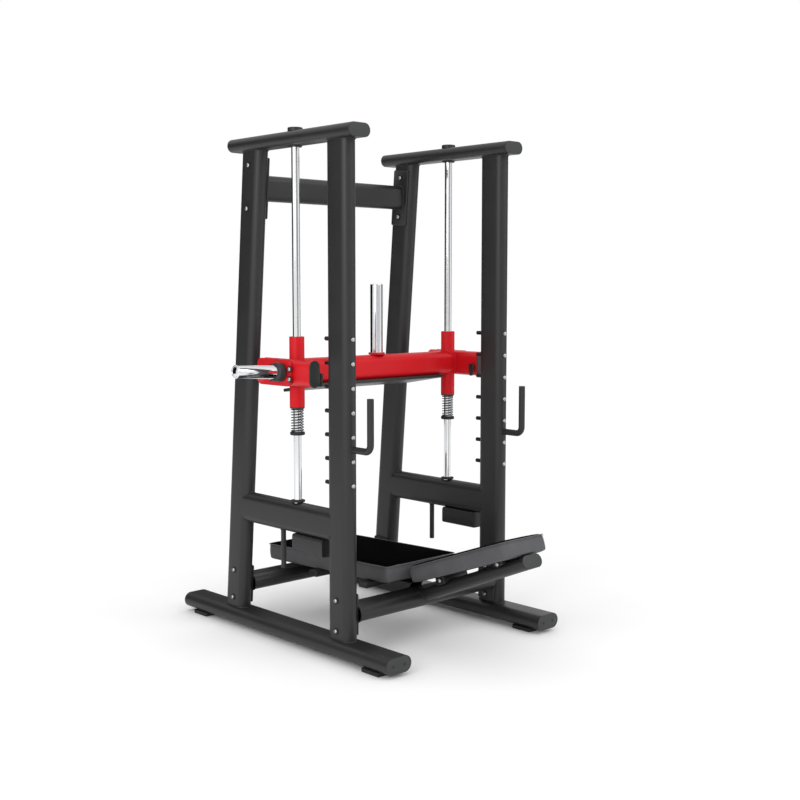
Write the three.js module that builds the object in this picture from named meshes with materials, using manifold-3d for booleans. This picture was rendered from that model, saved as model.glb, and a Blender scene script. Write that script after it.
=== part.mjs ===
// Vertical leg press: a plate-loaded strength machine. Two flat-oval tube frames stand side by
// side, a red carriage with a foot plate rides up and down on one chrome guide rod in each frame,
// and the user lies underneath on a seat pad and an inclined back pad.
//
// Millimetres, +Z up, +X across the machine, -Y toward the head end of the back pad.
// The origin is on the floor, under the middle of the machine.

import * as THREE from 'three';
import { mergeVertices } from 'three/addons/utils/BufferGeometryUtils.js';
import Module from 'manifold-3d';

const wasm = await Module();
wasm.setup();

// ---------------------------------------------------------------- driving dimensions

const clearance = 0.3;          // gap between pieces that touch
const arcSteps = 4;             // half the facets on each half-round of a flat-oval tube
const roundSteps = 24;          // facets on a turned piece
const boltSteps = 12;           // facets on a slim round piece
const slimDiameter = 28;        // pieces up to this size count as slim
const weldDepth = 2;            // how far a welded piece is let into its neighbour

// frame tube
const tubeWide = 120;
const tubeThin = 60;
const tubeWall = 3;

// the two side frames
const frameSpacing = 804;       // centre to centre
const footHeight = 14;
const baseLength = 1258;
const baseFrontY = -494;
const topRailTopZ = 1929;
const topRailWide = 100;
const topRailThin = 50;
const topRailLength = 718;
const topRailFrontY = -294;
const frontUprightY = -196.5;
const rearUprightFootY = 458.5; // where it stands on the base tube
const rearUprightHeadY = 310.7; // where it meets the top rail
const midRailTopZ = 549;
const footLength = 95;
const footWidth = 108;
const frontFootInset = 47;     // from the end of the base tube
const rearFootInset = 53;
const footCorner = 8;
const capPlate = 3;             // visible flange of a plastic tube plug
const capPlug = 14;             // depth that the plug reaches into the tube

// welded under each mid rail
const blockTall = 65;
const blockWidth = 60;
const blockCorner = 10;
const blockLength = 186;
const blockSetback = 19.5;      // from the front upright
const dropRodDiameter = 20;
const dropRodLength = 150;
const dropRodSetback = 92;      // behind the guide rod

// cross members
const flangeThick = 8;
const flangeWide = 86;
const flangeCorner = 6;
const lowerFlangeTall = 154;
const upperFlangeTall = 234;
const lowerCrossRise = 92;      // middle of the lower cross tubes above the base tubes
const upperBeamDrop = 189;      // middle of the upper beam below the machine's top
const upperBeamTall = 100;
const upperBeamDeep = 50;
const ventDiameter = 16;

// guide rods
const guideRodSetback = 201;    // behind the front uprights
const rodDiameter = 30;
const rodSeatDepth = 45;        // length of rod inside the mid rail
const nutDiameter = 56;
const nutHeight = 15;
const nutBoreDepth = 10;
const stopDiameter = 55;
const stopHeight = 9;
const bossDiameter = 50;
const bossHeight = 6;

// adjustment pegs
const pegCount = 7;
const pegPitch = 87.75;
const topPegZ = 1173.3;
const pegDiameter = 16;
const pegFrontProud = 6;
const pegRearReach = 31;
const pegStripWide = 22;
const pegStripThick = 8;

// hand grips
const gripDiameter = 25;
const gripReach = 93;           // from the upright's front to the upright bar
const gripTall = 190;
const gripBend = 26;
const gripSetIn = 30;           // length inside the upright

// carriage
const carriageZ = 1043;         // centre height at rest
const beamTall = 100;
const beamCover = 1.5;          // beam in front of and behind each sleeve
const sideTubeTall = 100;
const sideTubeWide = 50;
const sideTubeOffset = 15;      // its inner face outside the guide rod's centre
const sideTubeSetback = 49;     // its front end behind the front upright
const sideTubeLength = 290;
const sleeveWall = 13;
const sleeveFit = 1;            // bore over rod, on the diameter
const sleeveLength = 270;
const sleeveRise = 132;         // of the sleeve's top above the carriage's centre
const hornPlateThick = 8;
const hornPlateLength = 206;
const hornPlateCorner = 24;
const hornPlateOverhang = 13;   // behind the side tube
const hornDiameter = 50;
const hornWall = 4;
const sideHornLength = 208;
const hornTilt = 3;             // degrees, tips raised
const hornRise = 2;             // foot of a side horn above the carriage's centre
const hornEdge = 2;             // chamfer at a horn's tip
const hornCollarDiameter = 71;
const hornCollarThick = 30;
const centreHornLength = 279;
const centreHornRingDiameter = 66;
const centreHornRingThick = 8;

// foot plate under the carriage
const footPlateGap = 33.5;      // from each end to the sleeve beside it
const footPlateAhead = 40.5;    // front edge ahead of the guide rods
const footPlateBehind = 173.5;  // rear edge behind the guide rods
const footPlateThick = 12;
const footPlateCorner = 12;
const footPlateTilt = 9.5;      // degrees, rear edge low
const gussetSpacing = 420;
const gussetThick = 8;
const gussetRun = 110;

// buffers under the sleeves
const springWire = 4;
const springInset = 4;          // all round, inside the sleeve's outside
const springLength = 88;
const springTurns = 8;
const bufferRingInset = 0.5;
const bufferRingHeight = 12;

// catches that swing over the pegs
const catchThick = 12;
const catchPivotSetback = 15.5; // behind the side tube's front end
const catchPivotDrop = 8;       // below the carriage's centre
const catchLength = 40;
const catchWidth = 12;
const catchEyeRadius = 11;
const catchPinDiameter = 10;

// seat
const seatWidth = 376;
const seatLength = 745;
const seatThick = 70;
const seatCorner = 12;
const seatOverhang = 1.5;       // of the pad's front edge ahead of the uprights' centre
const seatRise = 145;           // top of the pad's front edge above the lower cross tubes
const seatSlope = 1.9;          // degrees, rear end low
const spineWidth = 60;
const spineTall = 60;
const spineSetIn = 2.92;        // how far the spine is let into the front crossbar
const crossbarLength = 430;
const crossbarWide = 50;
const crossbarTall = 24;
const crossbarCorner = 4;
const crossbarRuns = [108, 412]; // middle of each crossbar behind the pad's front edge

// back pad
const backWidth = 227;
const backLength = 544;
const backThick = 64;
const backCorner = 36;
const backFootGap = 38.1;       // lower rear edge of the pad ahead of the seat pad
const backFootDrop = 74;        // and below the seat pad's front edge
const backIncline = 19.8;       // degrees
const supportWide = 100;
const supportThin = 50;
const supportIncline = 22.5;    // degrees
const supportRun = 558;         // level distance from the uprights' centre to its tip
const supportDrop = 3;          // of its centre line below the front cross tube's
const bracketWidth = 130;
const bracketRun = 46;
const bracketRuns = [125, 435]; // along the pad, from its foot
const bracketSink = 4;          // how far a bracket is let into the support tube

// ---------------------------------------------------------------- derived sizes

const halfSpacing = frameSpacing / 2;
const baseTopZ = footHeight + tubeThin;
const topRailBottomZ = topRailTopZ - topRailThin;
const uprightInnerX = halfSpacing - tubeThin / 2;
const uprightFrontY = frontUprightY - tubeWide / 2;
const uprightRearY = frontUprightY + tubeWide / 2;
const midRailZ = midRailTopZ - tubeWide / 2;
const lowerCrossZ = baseTopZ + lowerCrossRise;
const upperBeamZ = topRailTopZ - upperBeamDrop;
const guideRodY = uprightRearY + guideRodSetback;
const sleeveBore = rodDiameter + sleeveFit;
const sleeveDiameter = sleeveBore + 2 * sleeveWall;
const beamDeep = sleeveDiameter + 2 * beamCover;
const springDiameter = sleeveDiameter - 2 * springInset;
const bufferRingDiameter = sleeveDiameter - 2 * bufferRingInset;
const sideTubeInnerX = halfSpacing + sideTubeOffset;
const sideTubeFrontY = uprightRearY + sideTubeSetback;
const catchPivotY = sideTubeFrontY + catchPivotSetback;
const footPlateWidth = 2 * (halfSpacing - sleeveDiameter / 2 - footPlateGap);
const footPlateFrontY = guideRodY - footPlateAhead;
const footPlateRearY = guideRodY + footPlateBehind;
const seatFrontY = frontUprightY - seatOverhang;
const seatFrontZ = lowerCrossZ + seatRise;
const backFootY = seatFrontY - backFootGap;
const backFootZ = seatFrontZ - backFootDrop;
const sideTubeX = sideTubeInnerX + sideTubeWide / 2;
const hornPlateX = sideTubeInnerX + sideTubeWide + clearance;

const hornTiltRadians = hornTilt * Math.PI / 180;
const seatSlopeRadians = seatSlope * Math.PI / 180;
const backInclineRadians = backIncline * Math.PI / 180;
const supportInclineRadians = supportIncline * Math.PI / 180;
const supportTipY = frontUprightY - supportRun;
const supportTipZ = lowerCrossZ - supportDrop + supportRun * Math.tan(supportInclineRadians);

const rearUprightLean = Math.atan2(rearUprightFootY - rearUprightHeadY, topRailBottomZ - baseTopZ);

function rearUprightY(z) {
  return rearUprightFootY - (z - baseTopZ) * Math.tan(rearUprightLean);
}

// ---------------------------------------------------------------- materials

function finish(color, roughness, metalness) {
  return new THREE.MeshStandardMaterial({ color, roughness, metalness });
}

const blackPaint = finish(0x2b2b2c, 0.45, 0.3);
const redPaint = finish(0xce272e, 0.35, 0.2);
const chrome = finish(0xd9dbdd, 0.12, 1);
const blackPlastic = finish(0x262a29, 0.55, 0);
const blackRubber = finish(0x1c1c1c, 0.85, 0);
const blackLeather = finish(0x111111, 0.5, 0);
const steel = finish(0x9a9c9e, 0.35, 1);

// ---------------------------------------------------------------- solids

// A closed geometry as a solid that can be cut and joined.
function solid(geometry) {
  const bare = geometry.clone();
  bare.deleteAttribute('normal');
  bare.deleteAttribute('uv');
  const welded = mergeVertices(bare, 1e-3);
  return new wasm.Manifold(new wasm.Mesh({
    numProp: 3,
    vertProperties: new Float32Array(welded.attributes.position.array),
    triVerts: new Uint32Array(welded.index.array),
  }));
}

function geometryOf(body) {
  const mesh = body.getMesh();
  const geometry = new THREE.BufferGeometry();
  geometry.setAttribute('position', new THREE.BufferAttribute(mesh.vertProperties, 3));
  geometry.setIndex(new THREE.BufferAttribute(mesh.triVerts, 1));
  geometry.computeVertexNormals();
  return geometry;
}

function join(...geometries) {
  return geometryOf(geometries.map(solid).reduce((body, next) => body.add(next)));
}

function cut(geometry, ...tools) {
  return geometryOf(tools.map(solid).reduce((body, tool) => body.subtract(tool), solid(geometry)));
}

function keepInside(geometry, region) {
  return geometryOf(solid(geometry).intersect(solid(region)));
}

// A flat oval: two half rounds joined by straight flats, long side along the outline's x.
function flatOval(wide, thin) {
  const radius = thin / 2;
  const straight = wide / 2 - radius;
  const outline = new THREE.Shape();
  outline.moveTo(-straight, -radius);
  outline.lineTo(straight, -radius);
  outline.absarc(straight, 0, radius, -Math.PI / 2, Math.PI / 2, false);
  outline.lineTo(-straight, radius);
  outline.absarc(-straight, 0, radius, Math.PI / 2, Math.PI * 1.5, false);
  return outline;
}

function hollowFlatOval(wide, thin, wall) {
  const outline = flatOval(wide, thin);
  outline.holes.push(flatOval(wide - 2 * wall, thin - 2 * wall));
  return outline;
}

function roundedRectangle(wide, tall, corner) {
  const x = wide / 2;
  const y = tall / 2;
  const outline = new THREE.Shape();
  outline.moveTo(-x + corner, -y);
  outline.lineTo(x - corner, -y);
  outline.absarc(x - corner, -y + corner, corner, -Math.PI / 2, 0, false);
  outline.lineTo(x, y - corner);
  outline.absarc(x - corner, y - corner, corner, 0, Math.PI / 2, false);
  outline.lineTo(-x + corner, y);
  outline.absarc(-x + corner, y - corner, corner, Math.PI / 2, Math.PI, false);
  outline.lineTo(-x, -y + corner);
  outline.absarc(-x + corner, -y + corner, corner, Math.PI, Math.PI * 1.5, false);
  return outline;
}

function extrude(outline, depth) {
  return new THREE.ExtrudeGeometry(outline, { depth, bevelEnabled: false, curveSegments: arcSteps });
}

const axisX = new THREE.Vector3(1, 0, 0);
const axisY = new THREE.Vector3(0, 1, 0);
const axisZ = new THREE.Vector3(0, 0, 1);

// Carries a geometry's own axes onto the three given ones.
function turnTo(geometry, x, y, z) {
  return geometry.applyMatrix4(new THREE.Matrix4().makeBasis(x, y, z));
}

// Extrusions along each axis: the outline's x and y run along X and Z, Y and Z, or X and Y.
function alongY(outline, fromY, toY) {
  const geometry = extrude(outline, toY - fromY);
  return turnTo(geometry, axisX, axisZ, axisY.clone().negate()).translate(0, toY, 0);
}

function alongX(outline, fromX, toX) {
  return turnTo(extrude(outline, toX - fromX), axisY, axisZ, axisX).translate(fromX, 0, 0);
}

function alongZ(outline, fromZ, toZ) {
  return extrude(outline, toZ - fromZ).translate(0, 0, fromZ);
}

function turned(outline) {
  const points = outline.map(([radius, height]) => new THREE.Vector2(radius, height));
  const widest = 2 * Math.max(...points.map((point) => point.x));
  const steps = widest > slimDiameter ? roundSteps : boltSteps;
  return turnTo(new THREE.LatheGeometry(points, steps), axisX, axisZ, axisY.clone().negate());
}

// A round bar or tube standing on z = fromZ.
function roundBar(diameter, fromZ, toZ) {
  const radius = diameter / 2;
  return turned([[0, fromZ], [radius, fromZ], [radius, toZ], [0, toZ]]);
}

function roundTube(outer, inner, fromZ, toZ) {
  const radii = [inner / 2, outer / 2];
  return turned([
    [radii[0], fromZ], [radii[1], fromZ], [radii[1], toZ], [radii[0], toZ], [radii[0], fromZ],
  ]);
}

function roundBarAlongY(diameter, fromY, toY) {
  return roundBar(diameter, -toY, -fromY).rotateX(Math.PI / 2);
}

function roundBarAlongX(diameter, fromX, toX) {
  return roundBar(diameter, fromX, toX).rotateY(Math.PI / 2);
}

function block(fromX, toX, fromY, toY, fromZ, toZ) {
  const geometry = new THREE.BoxGeometry(toX - fromX, toY - fromY, toZ - fromZ);
  return geometry.translate((fromX + toX) / 2, (fromY + toY) / 2, (fromZ + toZ) / 2);
}

// ---------------------------------------------------------------- scene graph

const machine = new THREE.Group();

function addPiece(parent, name, geometry, material, x = 0, y = 0, z = 0) {
  const mesh = new THREE.Mesh(geometry, material);
  mesh.name = name;
  mesh.position.set(x, y, z);
  parent.add(mesh);
  return mesh;
}

// ---------------------------------------------------------------- side frame

// Outlines of the uprights, grown by the clearance, that cut what butts against them.
function frontUprightEnvelope() {
  const grown = flatOval(tubeWide + 2 * clearance, tubeThin + 2 * clearance);
  const upright = alongZ(grown, baseTopZ, topRailBottomZ).rotateZ(Math.PI / 2);
  return upright.translate(0, frontUprightY, 0);
}

function leaningTube(outline) {
  const length = (topRailBottomZ - baseTopZ) / Math.cos(rearUprightLean) + 2 * tubeThin;
  const tube = alongZ(outline, -tubeThin, length - tubeThin).rotateZ(Math.PI / 2);
  return tube.rotateX(rearUprightLean).translate(0, rearUprightFootY, baseTopZ);
}

function rearUprightEnvelope() {
  return leaningTube(flatOval(tubeWide + 2 * clearance, tubeThin + 2 * clearance));
}

function pegHeights() {
  return Array.from({ length: pegCount }, (_, index) => topPegZ - index * pegPitch);
}

// The grips sit midway between the fifth and the sixth peg.
const gripZ = topPegZ - 4.5 * pegPitch;

function baseTube() {
  return alongY(hollowFlatOval(tubeWide, tubeThin, tubeWall), 0, baseLength);
}

// Plastic plug: a flat-oval cover plate with a smaller plug behind it that fits in the tube.
function tubeCap(wide, thin, wall) {
  const fit = wall + clearance;
  const plug = alongY(flatOval(wide - 2 * fit, thin - 2 * fit), 0, capPlug);
  return join(alongY(flatOval(wide, thin), -capPlate, 0.01), plug);
}

function frontUpright() {
  const outline = hollowFlatOval(tubeWide, tubeThin, tubeWall);
  const tube = alongZ(outline, baseTopZ + clearance, topRailBottomZ - clearance);
  const upright = tube.rotateZ(Math.PI / 2).translate(0, frontUprightY, 0);
  const holes = pegHeights().map((z) => {
    const bore = roundBarAlongY(pegDiameter + 2 * clearance, uprightFrontY - 1, uprightRearY + 1);
    return bore.translate(0, 0, z);
  });
  const gripHole = roundBarAlongY(gripDiameter + 2 * clearance, uprightFrontY - 1, frontUprightY);
  return cut(upright, ...holes, gripHole.translate(0, 0, gripZ));
}

function rearUpright() {
  const tube = leaningTube(hollowFlatOval(tubeWide, tubeThin, tubeWall));
  const reach = 2 * tubeWide;
  const between = block(-reach, reach, rearUprightHeadY - reach, rearUprightFootY + reach,
    baseTopZ + clearance, topRailBottomZ - clearance);
  return keepInside(tube, between);
}

// The mid rail with the block and the short drop rod welded under it.
function midRail() {
  const bottomZ = midRailTopZ - tubeWide;
  const lying = alongY(hollowFlatOval(tubeWide, tubeThin, tubeWall), frontUprightY, rearUprightY(midRailZ));
  const rail = lying.rotateY(Math.PI / 2).translate(0, 0, midRailZ);
  const trimmed = cut(rail, frontUprightEnvelope(), rearUprightEnvelope());
  const blockFrontY = uprightRearY + blockSetback;
  const section = roundedRectangle(blockWidth, blockTall, blockCorner);
  const stub = alongY(section, blockFrontY, blockFrontY + blockLength);
  const stubZ = bottomZ - blockTall / 2 + weldDepth;
  const rod = roundBar(dropRodDiameter, bottomZ - dropRodLength, bottomZ + weldDepth);
  const rodY = guideRodY + dropRodSetback;
  const bore = roundBar(rodDiameter + 2 * clearance, midRailZ, midRailTopZ + 1);
  const welded = join(trimmed, stub.translate(0, 0, stubZ), rod.translate(0, rodY, 0));
  return cut(welded, bore.translate(0, guideRodY, 0));
}

// The top rail, with the round boss under it that the guide rod passes through.
function topRail() {
  const outline = hollowFlatOval(topRailWide, topRailThin, tubeWall);
  const rail = alongY(outline, topRailFrontY, topRailFrontY + topRailLength);
  const boss = roundBar(bossDiameter, topRailBottomZ - bossHeight, topRailBottomZ + tubeWall / 2);
  const bore = roundBar(rodDiameter + 2 * clearance, topRailBottomZ - bossHeight - 1, topRailTopZ + 1);
  const middleZ = topRailTopZ - topRailThin / 2;
  const body = join(rail.translate(0, 0, middleZ), boss.translate(0, guideRodY, 0));
  return cut(body, bore.translate(0, guideRodY, 0));
}

function guideRod() {
  return roundBar(rodDiameter, midRailTopZ - rodSeatDepth, topRailTopZ + nutBoreDepth - clearance);
}

// Capped nut on the guide rod's upper end.
function rodNut() {
  const outer = nutDiameter / 2;
  const bore = rodDiameter / 2 + clearance;
  const edge = 3;
  return turned([
    [0, nutBoreDepth], [bore, nutBoreDepth], [bore, 0], [outer, 0],
    [outer, nutHeight - edge], [outer - edge, nutHeight], [0, nutHeight],
  ]);
}

function rodStop() {
  return roundTube(stopDiameter, rodDiameter + 2 * clearance, 0, stopHeight);
}

// The pegs of one upright, welded through a strip that stands inside the tube.
function pegRack() {
  const heights = pegHeights();
  const overhang = pegDiameter;
  const strip = block(-pegStripThick / 2, pegStripThick / 2,
    frontUprightY - pegStripWide / 2, frontUprightY + pegStripWide / 2,
    heights[heights.length - 1] - overhang, heights[0] + overhang);
  const pegs = heights.map((z) => {
    const peg = roundBarAlongY(pegDiameter, uprightFrontY - pegFrontProud, uprightRearY + pegRearReach);
    return peg.translate(0, 0, z);
  });
  return join(strip, ...pegs);
}

// An L of round bar: out of the upright's front, then straight up.
function handGrip() {
  const path = new THREE.CurvePath();
  const barY = uprightFrontY - gripReach;
  const start = new THREE.Vector3(0, uprightFrontY + gripSetIn, 0);
  const bendStart = new THREE.Vector3(0, barY + gripBend, 0);
  const bendEnd = new THREE.Vector3(0, barY, gripBend);
  const top = new THREE.Vector3(0, barY, gripTall);
  const corner = new THREE.Vector3(0, barY, 0);
  path.add(new THREE.LineCurve3(start, bendStart));
  path.add(new THREE.QuadraticBezierCurve3(bendStart, corner, bendEnd));
  path.add(new THREE.LineCurve3(bendEnd, top));
  const section = new THREE.Shape();
  section.absarc(0, 0, gripDiameter / 2, 0, Math.PI * 2, false);
  return new THREE.ExtrudeGeometry(section, { steps: 24, curveSegments: 6, extrudePath: path });
}

function foot() {
  const plan = roundedRectangle(footWidth, footLength, footCorner);
  return alongZ(plan, 0, footHeight - clearance);
}

function addSideFrame(side, name) {
  const frame = new THREE.Group();
  frame.position.x = side * halfSpacing;
  machine.add(frame);
  const add = (piece, ...rest) => addPiece(frame, `${piece}_${name}`, ...rest);

  const baseZ = footHeight + tubeThin / 2;
  const baseRearY = baseFrontY + baseLength;
  add('base_tube', baseTube(), blackPaint, 0, baseFrontY, baseZ);
  add('foot_front', foot(), blackRubber, 0, baseFrontY + frontFootInset + footLength / 2, 0);
  add('foot_rear', foot(), blackRubber, 0, baseRearY - rearFootInset - footLength / 2, 0);
  add('base_cap_front', baseCap(), blackPlastic, 0, baseFrontY - clearance, baseZ);
  add('base_cap_rear', baseCap().rotateZ(Math.PI), blackPlastic, 0, baseRearY + clearance, baseZ);

  add('front_upright', frontUpright(), blackPaint);
  add('rear_upright', rearUpright(), blackPaint);
  add('mid_rail', midRail(), blackPaint);
  add('top_rail', topRail(), blackPaint);
  const topZ = topRailTopZ - topRailThin / 2;
  const topRearY = topRailFrontY + topRailLength;
  add('top_cap_front', topCap(), blackPlastic, 0, topRailFrontY - clearance, topZ);
  add('top_cap_rear', topCap().rotateZ(Math.PI), blackPlastic, 0, topRearY + clearance, topZ);

  add('guide_rod', guideRod(), chrome, 0, guideRodY, 0);
  add('guide_rod_nut', rodNut(), blackPaint, 0, guideRodY, topRailTopZ + clearance);
  add('guide_rod_stop', rodStop(), blackRubber, 0, guideRodY, midRailTopZ + clearance);
  add('peg_rack', pegRack(), steel);
  add('hand_grip', handGrip(), blackPaint, 0, 0, gripZ);
}

function baseCap() {
  return tubeCap(tubeWide, tubeThin, tubeWall);
}

function topCap() {
  return tubeCap(topRailWide, topRailThin, tubeWall);
}

addSideFrame(-1, 'left');
addSideFrame(1, 'right');

// ---------------------------------------------------------------- cross members

// A bolting flange: a plate on an upright's inner face.
function flange(side, tall, centreY, centreZ, lean = 0) {
  const outline = roundedRectangle(flangeWide, tall, flangeCorner);
  const face = uprightInnerX - clearance;
  const from = side > 0 ? face - flangeThick : -face;
  const plate = alongX(outline, from, from + flangeThick);
  return plate.rotateX(lean).translate(0, centreY, centreZ);
}

// A tube between the two frames with a flange welded on each end, and a vent bored through both.
function crossMember(outline, roll, flangeTall, centreY, centreZ, lean) {
  const reach = uprightInnerX - clearance - flangeThick + weldDepth;
  const tube = alongX(outline, -reach, reach).rotateX(roll).translate(0, centreY, centreZ);
  const flanges = [-1, 1].map((side) => flange(side, flangeTall, centreY, centreZ, lean));
  const vent = roundBarAlongX(ventDiameter, -halfSpacing, halfSpacing).translate(0, centreY, centreZ);
  return cut(join(tube, ...flanges), vent);
}

const lowerTube = () => hollowFlatOval(tubeWide, tubeThin, tubeWall);
const upperTube = () => hollowFlatOval(upperBeamTall, upperBeamDeep, tubeWall);
const lowerRearY = rearUprightY(lowerCrossZ);
const upperRearY = rearUprightY(upperBeamZ);
const onEdge = Math.PI / 2;

addPiece(machine, 'lower_front_crossmember',
  crossMember(lowerTube(), 0, lowerFlangeTall, frontUprightY, lowerCrossZ, 0), blackPaint);
addPiece(machine, 'lower_rear_crossmember',
  crossMember(lowerTube(), 0, lowerFlangeTall, lowerRearY, lowerCrossZ, rearUprightLean), blackPaint);
addPiece(machine, 'upper_rear_beam',
  crossMember(upperTube(), onEdge, upperFlangeTall, upperRearY, upperBeamZ, rearUprightLean), blackPaint);

// ---------------------------------------------------------------- seat and back pad

// Height of the seat pad's underside.
function seatBottomZ(y) {
  return seatFrontZ - seatThick / Math.cos(seatSlopeRadians) - (y - seatFrontY) * Math.tan(seatSlopeRadians);
}

const frontCrossbarZ = seatBottomZ(seatFrontY + crossbarRuns[0]) - clearance - crossbarTall / 2;
const spineTopZ = frontCrossbarZ - crossbarTall / 2 + spineSetIn;

// Envelope of a lower cross tube, which saddle-cuts what is welded to it.
function crossTubeEnvelope(centreY) {
  const grown = flatOval(tubeWide + 2 * clearance, tubeThin + 2 * clearance);
  return alongX(grown, -halfSpacing, halfSpacing).translate(0, centreY, lowerCrossZ);
}

// Spine between the two lower cross tubes, with two crossbars that carry the seat.
function seatFrame() {
  const spineBottomZ = spineTopZ - spineTall;
  const spine = block(-spineWidth / 2, spineWidth / 2, frontUprightY, lowerRearY, spineBottomZ, spineTopZ);
  const trimmed = cut(spine, crossTubeEnvelope(frontUprightY), crossTubeEnvelope(lowerRearY));
  const bars = crossbarRuns.map((run) => {
    const y = seatFrontY + run;
    const outline = roundedRectangle(crossbarWide, crossbarTall, crossbarCorner);
    const bar = alongX(outline, -crossbarLength / 2, crossbarLength / 2).rotateX(-seatSlopeRadians);
    const belowPad = seatBottomZ(y) - crossbarTall / 2 - clearance;
    return bar.translate(0, y, belowPad);
  });
  return join(trimmed, ...bars);
}

function seatPad() {
  const outline = roundedRectangle(seatWidth, seatLength, seatCorner);
  return alongZ(outline, -seatThick, 0).translate(0, seatLength / 2, 0);
}

function backPad() {
  const outline = roundedRectangle(backWidth, backLength, backCorner);
  return extrude(outline, backThick).translate(0, -backLength / 2, 0);
}

// Turns a geometry from level onto the back pad's incline, about the pad's foot.
function onIncline(geometry) {
  return geometry.rotateX(-backInclineRadians).translate(0, backFootY, backFootZ);
}

// Inclined tube under the back pad, with two brackets that carry the pad.
function backSupport() {
  const length = supportRun / Math.cos(supportInclineRadians);
  const tube = alongY(hollowFlatOval(supportWide, supportThin, tubeWall), 0, length);
  const placed = tube.rotateX(-supportInclineRadians).translate(0, supportTipY, supportTipZ);
  const trimmed = cut(placed, crossTubeEnvelope(frontUprightY));
  const brackets = bracketRuns.map((run) => {
    const y = backFootY - run * Math.cos(backInclineRadians);
    const padZ = backFootZ + run * Math.sin(backInclineRadians);
    const tubeZ = supportTipZ - (y - supportTipY) * Math.tan(supportInclineRadians) + supportThin / 2;
    const depth = padZ - tubeZ + bracketSink;
    return onIncline(block(-bracketWidth / 2, bracketWidth / 2, -run - bracketRun / 2,
      -run + bracketRun / 2, -depth, -clearance));
  });
  return join(trimmed, ...brackets);
}

function backSupportCap() {
  const cap = tubeCap(supportWide, supportThin, tubeWall).translate(0, -clearance, 0);
  return cap.rotateX(-supportInclineRadians);
}

addPiece(machine, 'seat_frame', seatFrame(), blackPaint);
const seat = addPiece(machine, 'seat_pad', seatPad(), blackLeather, 0, seatFrontY, seatFrontZ);
seat.rotation.x = -seatSlopeRadians;
addPiece(machine, 'back_support', backSupport(), blackPaint);
addPiece(machine, 'back_support_cap', backSupportCap(), blackPlastic, 0, supportTipY, supportTipZ);
addPiece(machine, 'back_pad', onIncline(backPad()), blackLeather);

// ---------------------------------------------------------------- carriage

const carriage = new THREE.Group();
carriage.position.set(0, 0, carriageZ);
machine.add(carriage);

function sleeveEnvelope(side) {
  const bar = roundBar(sleeveDiameter + 2 * clearance, -sleeveLength, sleeveLength);
  return bar.translate(side * halfSpacing, guideRodY, 0);
}

function carriageBeam() {
  const reach = sideTubeInnerX - clearance;
  const tube = alongX(hollowFlatOval(beamTall, beamDeep, tubeWall), -reach, reach).rotateX(Math.PI / 2);
  return cut(tube.translate(0, guideRodY, 0), sleeveEnvelope(-1), sleeveEnvelope(1));
}

function sideTube(side) {
  const lying = alongY(hollowFlatOval(sideTubeTall, sideTubeWide, tubeWall), 0, sideTubeLength);
  const tube = lying.rotateY(Math.PI / 2).translate(side * sideTubeX, sideTubeFrontY, 0);
  return cut(tube, sleeveEnvelope(side));
}

function sleeve() {
  return roundTube(sleeveDiameter, sleeveBore, sleeveRise - sleeveLength, sleeveRise);
}

// Plate on the side tube's outer face, which carries the horn.
function hornPlate(side) {
  const outline = roundedRectangle(hornPlateLength, sideTubeTall, hornPlateCorner);
  const rearY = sideTubeFrontY + sideTubeLength + hornPlateOverhang;
  const from = side > 0 ? hornPlateX : -hornPlateX - hornPlateThick;
  const plate = alongX(outline, from, from + hornPlateThick);
  return plate.translate(0, rearY - hornPlateLength / 2, 0);
}

// A plate horn along +Z with its wide collar at the foot and an open tube above it.
function horn(length, ringDiameter, ringThick) {
  const outer = hornDiameter / 2;
  const inner = outer - hornWall;
  const ring = ringDiameter / 2;
  const floor = ringThick + hornWall;
  return turned([
    [0, 0], [ring, 0], [ring, ringThick], [outer, ringThick], [outer, length - hornEdge],
    [outer - hornEdge, length], [inner, length], [inner, floor], [0, floor],
  ]);
}

// Plate with two gussets that hang it from the beam; the rear edge sits lower.
function footPlate() {
  const tilt = footPlateTilt * Math.PI / 180;
  const deep = (footPlateRearY - footPlateFrontY) / Math.cos(tilt);
  const outline = roundedRectangle(footPlateWidth, deep, footPlateCorner);
  const plate = alongZ(outline, -footPlateThick, 0).translate(0, deep / 2, 0).rotateX(-tilt);
  const beamBottom = -beamTall / 2;
  const frontTop = beamBottom - clearance + (guideRodY - footPlateFrontY) * Math.tan(tilt);
  const placed = plate.translate(0, footPlateFrontY, frontTop);
  const beamRearY = guideRodY + beamDeep / 2;
  const surface = (y) => frontTop - (y - footPlateFrontY) * Math.tan(tilt) - footPlateThick / 2;
  const rib = new THREE.Shape();
  rib.moveTo(beamRearY + clearance, surface(beamRearY));
  rib.lineTo(beamRearY + gussetRun, surface(beamRearY + gussetRun));
  rib.lineTo(beamRearY + clearance, beamTall / 4);
  const ribs = [-1, 1].map((side) => {
    const from = side * gussetSpacing / 2 - gussetThick / 2;
    return alongX(rib, from, from + gussetThick);
  });
  return join(placed, ...ribs);
}

// A coil of round wire, closed at both ends by its own flat ends.
function coilSpring(length) {
  class Helix extends THREE.Curve {
    getPoint(t) {
      const angle = t * springTurns * Math.PI * 2;
      const radius = (springDiameter - springWire) / 2;
      const height = springWire / 2 + t * (length - springWire);
      return new THREE.Vector3(radius * Math.cos(angle), radius * Math.sin(angle), height);
    }
  }
  const section = new THREE.Shape();
  section.absarc(0, 0, springWire / 2, 0, Math.PI * 2, false);
  const steps = springTurns * 8;
  return new THREE.ExtrudeGeometry(section, { steps, curveSegments: 3, extrudePath: new Helix() });
}

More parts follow.
